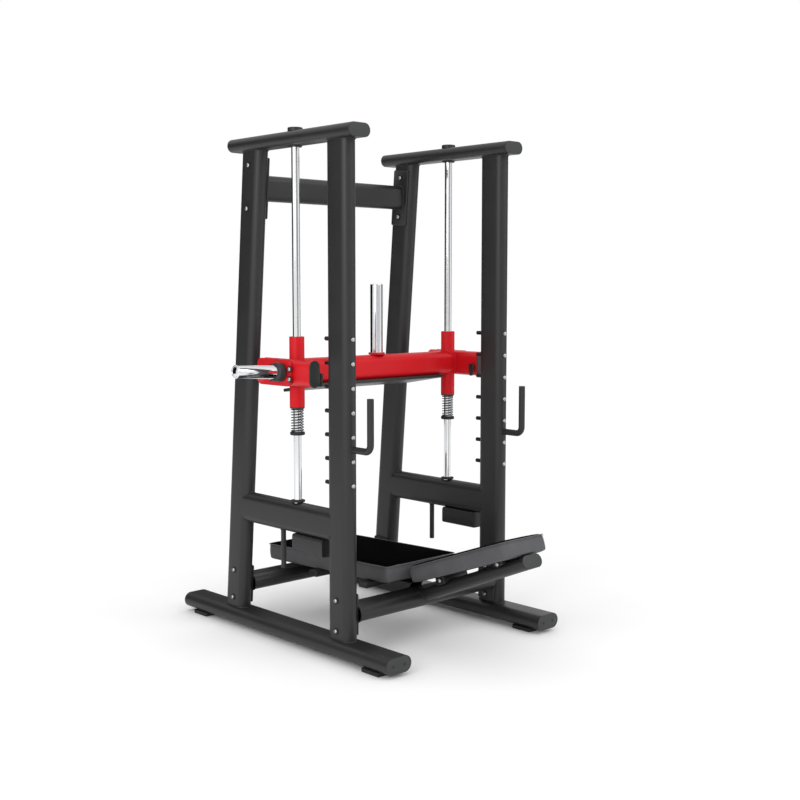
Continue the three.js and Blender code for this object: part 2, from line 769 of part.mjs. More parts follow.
// A pawl that hangs from a pin in the side tube and swings forward over a peg.
function pegCatch(side) {
  const outline = new THREE.Shape();
  const half = catchWidth / 2;
  outline.moveTo(-half, -catchLength);
  outline.lineTo(half, -catchLength);
  outline.lineTo(half, 0);
  outline.absarc(0, 0, catchEyeRadius, 0, Math.PI, false);
  outline.lineTo(-half, 0);
  const pawl = alongX(outline, -catchThick / 2, catchThick / 2);
  const pinReach = sideTubeInnerX - halfSpacing - 1;
  const from = side > 0 ? 0 : -pinReach;
  return join(pawl, roundBarAlongX(catchPinDiameter, from, from + pinReach));
}

function addCarriageSide(side, name) {
  const add = (piece, ...rest) => addPiece(carriage, `${piece}_${name}`, ...rest);
  const x = side * halfSpacing;
  const cap = () => tubeCap(sideTubeTall, sideTubeWide, tubeWall).rotateY(Math.PI / 2);
  add('carriage_side_tube', sideTube(side), redPaint);
  add('side_tube_cap', cap(), blackPlastic, side * sideTubeX, sideTubeFrontY - clearance, 0);
  add('guide_sleeve', sleeve(), redPaint, x, guideRodY, 0);
  add('horn_plate', hornPlate(side), redPaint);
  const tiltRoom = hornCollarDiameter / 2 * Math.sin(hornTiltRadians);
  const hornX = side * (hornPlateX + hornPlateThick + clearance + tiltRoom);
  const sideHorn = add('plate_horn', horn(sideHornLength, hornCollarDiameter, hornCollarThick), chrome,
    hornX, guideRodY, hornRise);
  sideHorn.rotation.y = side * (Math.PI / 2 - hornTiltRadians);

  const springTop = sleeveRise - sleeveLength - clearance;
  const springFoot = springTop - springLength;
  add('buffer_spring', coilSpring(springLength), steel, x, guideRodY, springFoot);
  const ring = roundTube(bufferRingDiameter, sleeveBore, 0, bufferRingHeight);
  add('buffer_ring', ring, blackRubber, x, guideRodY, springFoot - clearance - bufferRingHeight);
  add('peg_catch', pegCatch(side), steel, x, catchPivotY, -catchPivotDrop);
}

addPiece(carriage, 'carriage_beam', carriageBeam(), redPaint);
addCarriageSide(-1, 'left');
addCarriageSide(1, 'right');
addPiece(carriage, 'foot_plate', footPlate(), blackPaint);
const centreHorn = horn(centreHornLength, centreHornRingDiameter, centreHornRingThick);
addPiece(carriage, 'plate_horn_centre', centreHorn, chrome, 0, guideRodY, beamTall / 2 + clearance);

export default machine;
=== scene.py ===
"""A plate-loaded vertical leg press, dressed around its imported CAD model.

Metres, +Z up, +X across the machine, -Y toward the head end of the back pad.
"""

import math

import bpy
import numpy as np
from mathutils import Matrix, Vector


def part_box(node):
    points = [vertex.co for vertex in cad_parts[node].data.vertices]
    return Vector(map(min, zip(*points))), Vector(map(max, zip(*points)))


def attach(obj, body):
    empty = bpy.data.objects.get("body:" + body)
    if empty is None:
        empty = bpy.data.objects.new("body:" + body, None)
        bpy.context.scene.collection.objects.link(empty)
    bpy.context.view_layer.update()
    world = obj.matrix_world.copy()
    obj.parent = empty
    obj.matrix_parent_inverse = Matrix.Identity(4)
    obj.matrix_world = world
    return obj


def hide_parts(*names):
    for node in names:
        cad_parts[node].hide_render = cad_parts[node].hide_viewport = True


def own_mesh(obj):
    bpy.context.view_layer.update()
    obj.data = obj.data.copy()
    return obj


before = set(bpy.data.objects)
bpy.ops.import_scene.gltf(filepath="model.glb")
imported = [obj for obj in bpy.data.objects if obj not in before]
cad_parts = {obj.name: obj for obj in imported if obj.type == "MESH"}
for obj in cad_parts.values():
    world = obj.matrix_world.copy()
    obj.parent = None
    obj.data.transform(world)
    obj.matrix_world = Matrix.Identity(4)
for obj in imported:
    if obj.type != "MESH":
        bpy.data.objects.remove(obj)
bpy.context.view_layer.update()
SIDES = {"left": -1, "right": 1}

# ---------------------------------------------------------------- studio
# The camera stands ahead of the left frame at chest height. The machine is on a pale seamless
# floor in even white light, with a soft key lamp from the camera's right and a fill from the left.

camera = bpy.data.objects.new("camera", bpy.data.cameras.new("camera"))
bpy.context.scene.collection.objects.link(camera)
camera.location = (-3.1763, -3.4691, 1.3583)
camera.rotation_euler = (math.radians(90 - 5.385), 0, math.radians(-43.07))
camera.data.sensor_width = 36
camera.data.lens = 53.78
bpy.context.scene.camera = camera
bpy.context.scene.view_settings.view_transform = "Standard"

sky = bpy.data.worlds.new("white_studio")
sky.use_nodes = True
sky.node_tree.nodes["Background"].inputs["Color"].default_value = (1, 1, 1, 1)
sky.node_tree.nodes["Background"].inputs["Strength"].default_value = 1.0
bpy.context.scene.world = sky


def lamp(name, kind, place, aim, power):
    """A lamp of a kind at a place, turned to shine at a point."""
    made = bpy.data.objects.new(name, bpy.data.lights.new(name, kind))
    bpy.context.scene.collection.objects.link(made)
    made.data.energy = power
    away = np.array(place) - np.array(aim)
    made.location = place
    made.rotation_euler = (
        math.atan2(math.hypot(away[0], away[1]), away[2]), 0, math.atan2(away[0], -away[1]))
    return made


KEY_POWER, FILL_POWER = 0.75, 55
lamp("key_lamp", "SUN", (1.6, -4.3, 3.8), (0, 0, 0.9), KEY_POWER).data.angle = math.radians(40)
lamp("fill_lamp", "AREA", (-4.6, -1.4, 2.6), (0, 0, 0.9), FILL_POWER).data.size = 2.0


def linear(hex_colour):
    """The linear colour of an sRGB hex value such as 2b2b2c."""
    srgb = np.array([int(hex_colour[i:i + 2], 16) for i in (0, 2, 4)]) / 255
    return (*np.where(srgb < 0.04045, srgb / 12.92, ((srgb + 0.055) / 1.055) ** 2.4), 1)


def add(tree, kind, values=None, links=None, **settings):
    """Adds a node: settings are its own properties, values and links go by socket name."""
    made = tree.nodes.new(kind)
    for key, value in settings.items():
        setattr(made, key, value)
    for socket, value in (values or {}).items():
        made.inputs[socket].default_value = value
    for socket, source in (links or {}).items():
        tree.links.new(source, made.inputs[socket])
    return made


def surface_finish(name, colour, metallic, roughness, ior=None):
    """A material with its even values set on the shader itself; returns it, its tree and shader."""
    made = bpy.data.materials.new(name)
    made.use_nodes = True
    shader = made.node_tree.nodes["Principled BSDF"]
    shader.inputs["Base Color"].default_value = linear(colour)
    shader.inputs["Metallic"].default_value = metallic
    shader.inputs["Roughness"].default_value = roughness
    if ior:
        shader.inputs["IOR"].default_value = ior
    return made, made.node_tree, shader


# The floor: painted board, matt, with a faint mottle 300 mm across.
floor_paint, tree, shader = surface_finish("painted_floor", "f6f6f6", 0, 0.9, 1.45)
place = add(tree, "ShaderNodeTexCoord").outputs["Object"]
mottle = add(tree, "ShaderNodeTexNoise", {"Scale": 1 / 0.3, "Detail": 2}, {"Vector": place})
tone = add(tree, "ShaderNodeMapRange", {"To Min": 0.985, "To Max": 1.015}, {"Value": mottle.outputs["Fac"]})
tinted = add(tree, "ShaderNodeHueSaturation", {"Color": linear("f6f6f6")}, {"Value": tone.outputs["Result"]})
tree.links.new(tinted.outputs["Color"], shader.inputs["Base Color"])

FLOOR_HALF = 40.0
floor_mesh = bpy.data.meshes.new("floor")
floor_corners = [(x, y, -0.0005) for x, y in ((-1, -1), (1, -1), (1, 1), (-1, 1))]
floor_mesh.from_pydata([(x * FLOOR_HALF, y * FLOOR_HALF, z) for x, y, z in floor_corners], [], [(0, 1, 2, 3)])
floor_mesh.materials.append(floor_paint)
floor = bpy.data.objects.new("floor", floor_mesh)
bpy.context.scene.collection.objects.link(floor)

# Screens round the set, out of the picture: two black ones behind, a narrow black strip and a grey
# one in front. Only the reflections see them, and they draw the dark lines down the chrome.
black_cloth, tree, shader = surface_finish("black_screen_cloth", "050505", 0, 1.0, 1.3)
grey_cloth, tree, shader = surface_finish("grey_screen_cloth", "d6d6d6", 0, 1.0, 1.3)
SCREEN_RADIUS, SCREEN_TOP = 7.0, 4.5
for name, cloth, from_turn, to_turn in (("screen_rear", black_cloth, 52, 146),
                                        ("screen_side", black_cloth, 342, 370),
                                        ("screen_strip", black_cloth, 243, 248),
                                        ("screen_front", grey_cloth, 250, 292)):
    turn = np.radians(np.linspace(from_turn, to_turn, 25))
    edge = np.stack([np.cos(turn), np.sin(turn)], 1) * SCREEN_RADIUS
    corners = np.concatenate([np.column_stack([edge, np.full(25, z)]) for z in (0.0, SCREEN_TOP)])
    screen_mesh = bpy.data.meshes.new(name)
    screen_mesh.from_pydata(corners.tolist(), [], [(i, i + 25, i + 26, i + 1) for i in range(24)])
    screen_mesh.materials.append(cloth)
    screen = bpy.data.objects.new(name, screen_mesh)
    bpy.context.scene.collection.objects.link(screen)
    screen.visible_camera = screen.visible_diffuse = screen.visible_shadow = False

# ---------------------------------------------------------------- powder coat
# Baked polyester powder on steel tube. It flows out to a fine orange peel about 2.5 mm across,
# drawn at 3 mm so that it shows, with a faint cloudiness in tone and gloss from uneven film.


def powder_coat(name, colour, roughness, coat, sheen):
    """Satin or gloss powder coat in one colour; the sheen tints its reflections."""
    made, tree, shader = surface_finish(name, colour, 0, roughness, 1.45)
    shader.inputs["Specular Tint"].default_value = sheen
    shader.inputs["Coat Weight"].default_value = coat
    shader.inputs["Coat Roughness"].default_value = 0.12
    place = add(tree, "ShaderNodeTexCoord").outputs["Object"]
    clouds = add(tree, "ShaderNodeTexNoise", {"Scale": 1 / 0.09, "Detail": 4}, {"Vector": place})
    cloud = clouds.outputs["Fac"]
    tone = add(tree, "ShaderNodeMapRange", {"To Min": 0.88, "To Max": 1.12}, {"Value": cloud})
    tinted = add(
        tree, "ShaderNodeHueSaturation", {"Color": linear(colour)}, {"Value": tone.outputs["Result"]})
    gloss = add(tree, "ShaderNodeMapRange", {"To Min": roughness - 0.05, "To Max": roughness + 0.05},
                {"Value": cloud})
    peel = add(tree, "ShaderNodeTexNoise", {"Scale": 1 / 0.003, "Detail": 2}, {"Vector": place})
    bump = add(
        tree, "ShaderNodeBump", {"Strength": 0.12, "Distance": 0.0003}, {"Height": peel.outputs["Fac"]})
    tree.links.new(tinted.outputs["Color"], shader.inputs["Base Color"])
    tree.links.new(gloss.outputs["Result"], shader.inputs["Roughness"])
    tree.links.new(bump.outputs["Normal"], shader.inputs["Normal"])
    return made


black_powder = powder_coat("black_powder_coat_satin", "202021", 0.42, 0.0, (1, 1, 1, 1))
red_powder = powder_coat("red_powder_coat_gloss", "c4121b", 0.38, 0.04, (1, 0.35, 0.38, 1))

# ---------------------------------------------------------------- base tubes
# Flat-oval steel tube, 3 mm wall, lying flat on rubber feet. Each is sawn square, carries both
# uprights of its frame, and is closed by a screwed plastic plug at each end.

WALL = 0.003
AROUND = 26


def oval(wide, thin, points=AROUND):
    """A flat oval, long side along u: a half circle of the thin size at each end of a straight."""
    turn = np.linspace(-np.pi / 2, np.pi / 2, points)
    half = np.stack([np.cos(turn), np.sin(turn)], 1) * thin / 2 + [(wide - thin) / 2, 0]
    return np.concatenate([half, -half])


def skin(rings, closed=False):
    """A closed shell over rings of points, (ring, point, xyz): each ring is joined to the next one,
    and the last to the first where closed, else the two end rings are filled in."""
    rings = np.asarray(rings, float)
    count, around = rings.shape[:2]
    index = np.arange(count * around).reshape(count, around)
    near = index if closed else index[:-1]
    far = np.roll(index, -1, 0) if closed else index[1:]
    quads = np.stack([near, np.roll(near, -1, 1), np.roll(far, -1, 1), far], -1).reshape(-1, 4)
    faces = quads.tolist()
    if not closed:
        faces += [index[0][::-1].tolist(), index[-1].tolist()]
    points = rings.reshape(-1, 3)
    fans = [index[0][::-1], index[-1]] if not closed else []
    corners = np.concatenate(
        [quads[:, [0, 1, 2]], quads[:, [0, 2, 3]]]
        + [np.stack([np.full(around - 2, fan[0]), fan[1:-1], fan[2:]], 1) for fan in fans])
    a, b, c = points[corners].transpose(1, 0, 2)
    if (a * np.cross(b, c)).sum() < 0:
        faces = [face[::-1] for face in faces]
    return points, faces


def piece(name, shells, material, body, stands_for=(), crease=40):
    """One object made of closed shells. It rides on a body and may stand for CAD nodes.
    An edge is sharp where its two faces turn by more than the crease angle."""
    points = np.concatenate([shell[0] for shell in shells])
    starts = np.cumsum([0] + [len(shell[0]) for shell in shells])
    faces = [[start + i for i in face] for start, shell in zip(starts, shells) for face in shell[1]]
    mesh = bpy.data.meshes.new(name)
    mesh.from_pydata(points.tolist(), [], faces)
    mesh.shade_smooth()
    edge_of = np.empty(len(mesh.loops), int)
    mesh.loops.foreach_get("edge_index", edge_of)
    sizes = np.empty(len(mesh.polygons), int)
    mesh.polygons.foreach_get("loop_total", sizes)
    normals = np.empty(len(mesh.polygons) * 3)
    mesh.polygons.foreach_get("normal", normals)
    normals = normals.reshape(-1, 3)
    pairs = np.repeat(np.arange(len(sizes)), sizes)[np.argsort(edge_of, kind="stable")].reshape(-1, 2)
    turn = (normals[pairs[:, 0]] * normals[pairs[:, 1]]).sum(1)
    sharp = mesh.attributes.new("sharp_edge", "BOOLEAN", "EDGE")
    sharp.data.foreach_set("value", turn < math.cos(math.radians(crease)))
    mesh.materials.append(material)
    made = bpy.data.objects.new(name, mesh)
    bpy.context.scene.collection.objects.link(made)
    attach(made, body)
    if stands_for:
        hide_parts(*stands_for)
    return made


def box_of(node):
    """Lowest and highest corner of a CAD node as arrays."""
    low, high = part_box(node)
    return np.array(low), np.array(high)


def tube_along_y(wide, thin, x, z, from_y, to_y, upright=False):
    """Open flat-oval tube along Y: outer wall out, inner wall back. Wide across X, or up Z."""
    def ring(shrink, y):
        u, v = oval(wide - 2 * shrink, thin - 2 * shrink).T
        across, up = (v, u) if upright else (u, v)
        return np.stack([x + across, np.full_like(u, y), z + up], 1)
    return skin([ring(0, from_y), ring(0, to_y), ring(WALL, to_y), ring(WALL, from_y)], closed=True)


for side in SIDES:
    low, high = box_of(f"base_tube_{side}")
    wide, thin = high[0] - low[0], high[2] - low[2]
    middle = (low + high) / 2
    shell = tube_along_y(wide, thin, middle[0], middle[2], low[1], high[1])
    piece(f"base_tube_{side}_steel", [shell], black_powder, "frame",
          [f"base_tube_{side}"])

# ---------------------------------------------------------------- welds
# MIG fillets round every joint, coated over with the tube: a bead 3 mm in radius whose ripples
# are 5 mm apart, one for each step of the torch.

BEAD = 0.003
RIPPLE = 0.005


def evenly(path, step, closed=True):
    """The same path with points a fixed step apart, found by its running length."""
    path = np.asarray(path, float)
    if closed:
        path = np.concatenate([path, path[:1]])
    run = np.concatenate([[0], np.cumsum(np.linalg.norm(np.diff(path, axis=0), axis=1))])
    count = max(8, round(run[-1] / step))
    at = np.linspace(0, run[-1], count, endpoint=not closed)
    return np.stack([np.interp(at, run, path[:, i]) for i in range(3)], 1), at


def carried(path, axis, radii, sides, closed):
    """A round section carried along a path: its first direction is across both the path and the
    axis, its second is square to the path and to the first."""
    if closed:
        along = np.roll(path, -1, 0) - np.roll(path, 1, 0)
    else:
        along = np.gradient(path, axis=0)
    along /= np.linalg.norm(along, axis=1)[:, None]
    across = np.cross(along, axis)
    across /= np.linalg.norm(across, axis=1)[:, None]
    up = np.cross(across, along)
    turn = np.linspace(0, 2 * np.pi, sides, endpoint=False)[None, :, None]
    radii = np.broadcast_to(radii, len(path))[:, None, None]
    rings = path[:, None] + radii * (np.cos(turn) * across[:, None] + np.sin(turn) * up[:, None])
    return skin(rings, closed)


def weld(path, axis, closed=True, size=BEAD):
    """A rippled bead along a joint."""
    path, run = evenly(path, RIPPLE / 4, closed)
    radii = size * (1 + 0.13 * np.sin(2 * np.pi * run / RIPPLE))
    return carried(path, np.array(axis, float), radii, 8, closed)


# ---------------------------------------------------------------- uprights
# The same tube stood on edge, 60 mm wide across the machine and 120 mm deep. The front upright is
# plumb; the rear one leans forward as it rises. Both are welded to the base tube and the top rail.

front_low, front_high = box_of("front_upright_left")
THIN, WIDE = front_high[0] - front_low[0], front_high[1] - front_low[1]
front_y = (front_low[1] + front_high[1]) / 2
rear_low, rear_high = box_of("rear_upright_left")
rise = rear_high[2] - rear_low[2]
lean = 0.0
for _ in range(6):
    lean = math.atan((rear_high[1] - rear_low[1] - WIDE / math.cos(lean)) / rise)
rear_foot_y = rear_high[1] - WIDE / 2 / math.cos(lean)


def rear_y(z):
    """The rear upright's centre line at a height."""
    return rear_foot_y - (z - rear_low[2]) * math.tan(lean)


def upright_shells(x, centre_y, stretch):
    """An upright between two heights, cut level: outer and inner wall, with a weld at each end."""
    z0, z1 = front_low[2], front_high[2]

    def ring(shrink, z):
        v, u = oval(WIDE - 2 * shrink, THIN - 2 * shrink).T
        return np.stack([x + u, centre_y(z) + v * stretch, np.full_like(u, z)], 1)
    tube = skin([ring(0, z0), ring(0, z1), ring(WALL, z1), ring(WALL, z0)], closed=True)
    return [tube, weld(ring(0, z0), (0, 0, 1)), weld(ring(0, z1), (0, 0, 1))]


for side in SIDES:
    low, high = box_of(f"front_upright_{side}")
    x = (low[0] + high[0]) / 2
    piece(f"front_upright_{side}_steel", upright_shells(x, lambda z: front_y, 1), black_powder,
          "frame", [f"front_upright_{side}"])
    piece(f"rear_upright_{side}_steel", upright_shells(x, rear_y, 1 / math.cos(lean)), black_powder,
          "frame", [f"rear_upright_{side}"])

# ---------------------------------------------------------------- top rails
# Flat-oval tube lying flat across both uprights, with a round boss welded underneath where the
# guide rod goes through.

BOSS_RADIUS = 0.025


def turned(profile, centre, axis=(0, 0, 1), around=64, closed=False):
    """A profile of (radius, height) points turned about an axis through a centre."""
    profile = np.asarray(profile, float)
    w = np.array(axis, float)
    w /= np.linalg.norm(w)
    u = np.cross((0, 1, 0) if abs(w[1]) < 0.9 else (1, 0, 0), w)
    u /= np.linalg.norm(u)
    v = np.cross(w, u)
    turn = np.linspace(0, 2 * np.pi, around, endpoint=False)
    circle = np.cos(turn)[:, None] * u + np.sin(turn)[:, None] * v
    return skin(np.array(centre) + profile[:, 0, None, None] * circle + profile[:, 1, None, None] * w, closed)


def rounded(radius, height, edge, steps=5):
    """Profile points of a convex outer edge: a quarter turn from the side over onto the top."""
    turn = np.linspace(0, np.pi / 2, steps)
    return np.stack([radius - edge + edge * np.cos(turn), height - edge + edge * np.sin(turn)], 1).tolist()


rod_low, rod_high = box_of("guide_rod_left")
rod_y = (rod_low[1] + rod_high[1]) / 2
ROD_RADIUS = (rod_high[1] - rod_low[1]) / 2
RAIL_THIN = 0.050
for side in SIDES:
    low, high = box_of(f"top_rail_{side}")
    x = (low[0] + high[0]) / 2
    rail = tube_along_y(high[0] - low[0], RAIL_THIN, x, high[2] - RAIL_THIN / 2, low[1], high[1])
    boss_top = high[2] - RAIL_THIN
    boss = turned([(ROD_RADIUS, boss_top), (ROD_RADIUS, low[2]), (BOSS_RADIUS - 0.001, low[2]),
                   (BOSS_RADIUS, low[2] + 0.001), (BOSS_RADIUS, boss_top)], (x, rod_y, 0), closed=True)
    turn = np.linspace(0, 2 * np.pi, 64, endpoint=False)
    ring = np.stack([x + BOSS_RADIUS * np.cos(turn), rod_y + BOSS_RADIUS * np.sin(turn),
                     np.full_like(turn, boss_top)], 1)
    piece(f"top_rail_{side}_steel", [rail, boss, weld(ring, (0, 0, 1), size=0.0022)], black_powder,
          "frame", [f"top_rail_{side}"])

# ---------------------------------------------------------------- mid rails
# The tube on edge between the two uprights, its ends saddled to their rounds and welded. It holds
# the guide rod's foot. A short box and a plain rod are welded under it.

BLOCK_TALL, BLOCK_WIDE, BLOCK_CORNER = 0.065, 0.060, 0.010
BLOCK_SETBACK, BLOCK_LENGTH, BLOCK_INSET = 0.0195, 0.186, 0.004
DROP_ROD_RADIUS, DROP_ROD_SETBACK = 0.010, 0.092


def rounded_rectangle(wide, tall, corner, points=7):
    """A rectangle with a quarter circle at each corner, anticlockwise from the lower right."""
    turn = np.linspace(0, np.pi / 2, points)
    arc = np.stack([np.cos(turn), np.sin(turn)], 1) * corner
    centre = np.array([wide / 2 - corner, tall / 2 - corner])
    quarter = arc + centre
    flip = quarter[::-1]
    return np.concatenate([flip * [1, -1], quarter, flip * [-1, 1], quarter * [-1, -1]])


def bar_along(outline, start, end, u, v, edge=0.0):
    """A solid bar: the outline, spanned by u and v, from a start point to an end point, with its
    end edges eased by a small chamfer."""
    start, end, u, v = (np.array(value, float) for value in (start, end, u, v))
    along = (end - start) / np.linalg.norm(end - start)
    spans = outline.max(0) - outline.min(0)

    def ring(at, shrink):
        small = outline * (1 - 2 * shrink / spans)
        return at + small[:, :1] * u + small[:, 1:] * v
    if not edge:
        return skin([ring(start, 0), ring(end, 0)])
    return skin([ring(start, edge), ring(start + along * edge, 0),
                 ring(end - along * edge, 0), ring(end, edge)])


X, Y, Z = (1, 0, 0), (0, 1, 0), (0, 0, 1)
for side in SIDES:
    low, high = box_of(f"mid_rail_{side}")
    x = (low[0] + high[0]) / 2
    middle_z = high[2] - WIDE / 2

    def saddle(shrink, at_rear):
        """The rail's section, pushed along Y until it meets the upright's half round."""
        up, across = oval(WIDE - 2 * shrink, THIN - 2 * shrink).T
        z = middle_z + up
        reach = (WIDE - THIN) / 2 + np.sqrt(np.maximum((THIN / 2) ** 2 - across ** 2, 0))
        y = rear_y(z) - reach / math.cos(lean) if at_rear else front_y + reach
        return np.stack([x + across, y, z], 1)
    rail = skin([saddle(0, False), saddle(0, True), saddle(WALL, True), saddle(WALL, False)], closed=True)
    bottom = high[2] - WIDE
    block_y = front_y + WIDE / 2 + BLOCK_SETBACK
    block_z = bottom - BLOCK_TALL / 2 + 0.002
    section = rounded_rectangle(BLOCK_WIDE, BLOCK_TALL, BLOCK_CORNER)
    block = bar_along(section, (x, block_y + BLOCK_INSET, block_z),
                      (x, block_y + BLOCK_LENGTH - BLOCK_INSET, block_z), X, Z)
    rod_foot = (x, rod_y + DROP_ROD_SETBACK, 0)
    rod = turned([(DROP_ROD_RADIUS, bottom + 0.002), (DROP_ROD_RADIUS, low[2] + 0.0015),
                  (DROP_ROD_RADIUS - 0.0015, low[2])], rod_foot, around=32)
    turn = np.linspace(0, 2 * np.pi, 48, endpoint=False)
    rod_joint = np.stack([x + DROP_ROD_RADIUS * np.cos(turn), rod_foot[1] + DROP_ROD_RADIUS * np.sin(turn),
                          np.full_like(turn, bottom)], 1)
    beads = [weld(rod_joint, Z, size=0.002)]
    for at_rear in (False, True):
        joint = saddle(0, at_rear)
        for edge in (-1, 1):
            rounded_part = joint[edge * (joint[:, 2] - middle_z) > (WIDE - THIN) / 2 + 0.006]
            beads.append(weld(rounded_part[np.argsort(rounded_part[:, 0])], Z, closed=False))
    for edge in (-1, 1):
        line = [(x + edge * BLOCK_WIDE / 4, block_y + t, bottom - 0.001) for t in (0.01, BLOCK_LENGTH - 0.01)]
        beads.append(weld(line, Z, closed=False, size=0.0035))
    piece(f"mid_rail_{side}_steel", [rail, block, rod] + beads, black_powder, "frame",
          [f"mid_rail_{side}"])

# ---------------------------------------------------------------- plastic plugs
# Injection-moulded end plugs, fine spark texture about 0.6 mm, drawn at 1.2 mm so that it shows.
# The cover has a soft edge; the floor tubes' plugs are held by two small countersunk screws.

moulded_plastic, tree, shader = surface_finish("moulded_plastic_black", "2a2d2c", 0, 0.5, 1.49)
place = add(tree, "ShaderNodeTexCoord").outputs["Object"]
grain = add(tree, "ShaderNodeTexNoise", {"Scale": 1 / 0.0012, "Detail": 1}, {"Vector": place})
tone = add(tree, "ShaderNodeMapRange", {"To Min": 0.9, "To Max": 1.1}, {"Value": grain.outputs["Fac"]})
tinted = add(tree, "ShaderNodeHueSaturation", {"Color": linear("2a2d2c")}, {"Value": tone.outputs["Result"]})
bump = add(tree, "ShaderNodeBump", {"Strength": 0.2, "Distance": 0.0002}, {"Height": grain.outputs["Fac"]})
tree.links.new(tinted.outputs["Color"], shader.inputs["Base Color"])
tree.links.new(bump.outputs["Normal"], shader.inputs["Normal"])

CAP_EDGE = 0.0022
SCREW_RADIUS = 0.0055


def cap_shell(outline_of, centre, outward, u, v, depth):
    """A cover plate: rings of the outline from its back, round a soft edge, onto the face."""
    centre, outward, u, v = (np.array(value, float) for value in (centre, outward, u, v))
    turn = np.linspace(0, np.pi / 2, 6)
    stations = [(CAP_EDGE / 3, -depth), (0, -depth + CAP_EDGE / 3)]
    stations += list(zip(CAP_EDGE * (1 - np.cos(turn)), -CAP_EDGE * (1 - np.sin(turn))))
    rings = []
    for inset, height in stations:
        flat = outline_of(inset)
        rings.append(centre + flat[:, :1] * u + flat[:, 1:] * v + height * outward)
    return skin(rings)


screw_shells = []
for side in SIDES:
    for end, outward in (("front", -1), ("rear", 1)):
        for level in ("base", "top"):
            low, high = box_of(f"{level}_cap_{end}_{side}")
            centre = (low + high) / 2
            face_y = low[1] if outward < 0 else high[1]
            wide, thin = high[0] - low[0], high[2] - low[2]
            shell = cap_shell(lambda inset: oval(wide - 2 * inset, thin - 2 * inset),
                              (centre[0], face_y, centre[2]), (0, outward, 0), X, Z, 0.0029)
            piece(f"{level}_cap_{end}_{side}_cover", [shell], moulded_plastic, "frame",
                  [f"{level}_cap_{end}_{side}"])
            if level == "base":
                for across in (-1, 1):
                    head = (centre[0] + across * WIDE * 0.22, face_y + outward * 0.0004, centre[2])
                    screw_shells.append(turned(
                        [(SCREW_RADIUS, -0.001), (SCREW_RADIUS, 0), (SCREW_RADIUS - 0.0006, 0.0003),
                         (0.0030, 0.0003), (0.0026, -0.0008)], head, (0, outward, 0), around=24))

# Steel blackened in hot oxide salts: near black and dull, a little patchy.
blackened_steel, tree, shader = surface_finish("blackened_screw_steel", "0b0b0c", 0.2, 0.5, 1.5)
place = add(tree, "ShaderNodeTexCoord").outputs["Object"]
oxide = add(tree, "ShaderNodeTexNoise", {"Scale": 1 / 0.004, "Detail": 3}, {"Vector": place})
dull = add(tree, "ShaderNodeMapRange", {"To Min": 0.42, "To Max": 0.6}, {"Value": oxide.outputs["Fac"]})
tree.links.new(dull.outputs["Result"], shader.inputs["Roughness"])
piece("base_cap_screws", screw_shells, blackened_steel, "frame")

# ---------------------------------------------------------------- feet
# Moulded rubber blocks under the ends of each base tube, with drafted sides and a ribbed sole.

black_rubber, tree, shader = surface_finish("moulded_rubber_black", "191919", 0, 0.78, 1.52)
place = add(tree, "ShaderNodeTexCoord").outputs["Object"]
bloom = add(tree, "ShaderNodeTexNoise", {"Scale": 1 / 0.02, "Detail": 5}, {"Vector": place})
tone = add(tree, "ShaderNodeMapRange", {"To Min": 0.85, "To Max": 1.3}, {"Value": bloom.outputs["Fac"]})
tinted = add(tree, "ShaderNodeHueSaturation", {"Color": linear("191919")}, {"Value": tone.outputs["Result"]})
fine = add(tree, "ShaderNodeTexNoise", {"Scale": 1 / 0.0015, "Detail": 2}, {"Vector": place})
bump = add(tree, "ShaderNodeBump", {"Strength": 0.25, "Distance": 0.0003}, {"Height": fine.outputs["Fac"]})
tree.links.new(tinted.outputs["Color"], shader.inputs["Base Color"])
tree.links.new(bump.outputs["Normal"], shader.inputs["Normal"])

FOOT_CORNER = 0.008
for side in SIDES:
    for end in ("front", "rear"):
        low, high = box_of(f"foot_{end}_{side}")
        centre, size = (low + high) / 2, high - low
        stations = [(0.0025, 0), (0.001, 0.0012), (0.001, 0.0035), (0.0022, 0.0045), (0.0022, 0.0060),
                    (0.001, 0.0070), (0.0, size[2] - 0.0015), (0.0015, size[2])]
        rings = []
        for inset, height in stations:
            flat = rounded_rectangle(size[0] - 2 * inset, size[1] - 2 * inset, FOOT_CORNER - inset)
            rings.append(np.column_stack([centre[0] + flat[:, 0], centre[1] + flat[:, 1],
                                          np.full(len(flat), low[2] + height)]))
        piece(f"foot_{end}_{side}_rubber", [skin(rings)], black_rubber, "frame",
              [f"foot_{end}_{side}"])

# ---------------------------------------------------------------- guide rods
# Ground, hard-chromed 30 mm shafts. Grinding leaves very fine lines round the bar, 0.4 mm apart,
# drawn at 1.5 mm so that they only just break up the reflections.


def chromed(name, spin_axis_scale):
    """Bright chrome with fine lines square to the bar's length, which the scale picks out."""
    made, tree, shader = surface_finish(name, "e3e4e6", 1, 0.08)
    place = add(tree, "ShaderNodeTexCoord").outputs["Object"]
    lines = add(tree, "ShaderNodeMapping", {"Scale": spin_axis_scale}, {"Vector": place})
    grind = add(tree, "ShaderNodeTexNoise", {"Scale": 1.0, "Detail": 2}, {"Vector": lines.outputs["Vector"]})
    gloss = add(tree, "ShaderNodeMapRange", {"To Min": 0.05, "To Max": 0.13}, {"Value": grind.outputs["Fac"]})
    bump = add(
        tree, "ShaderNodeBump", {"Strength": 0.05, "Distance": 0.0001}, {"Height": grind.outputs["Fac"]})
    tree.links.new(gloss.outputs["Result"], shader.inputs["Roughness"])
    tree.links.new(bump.outputs["Normal"], shader.inputs["Normal"])
    return made


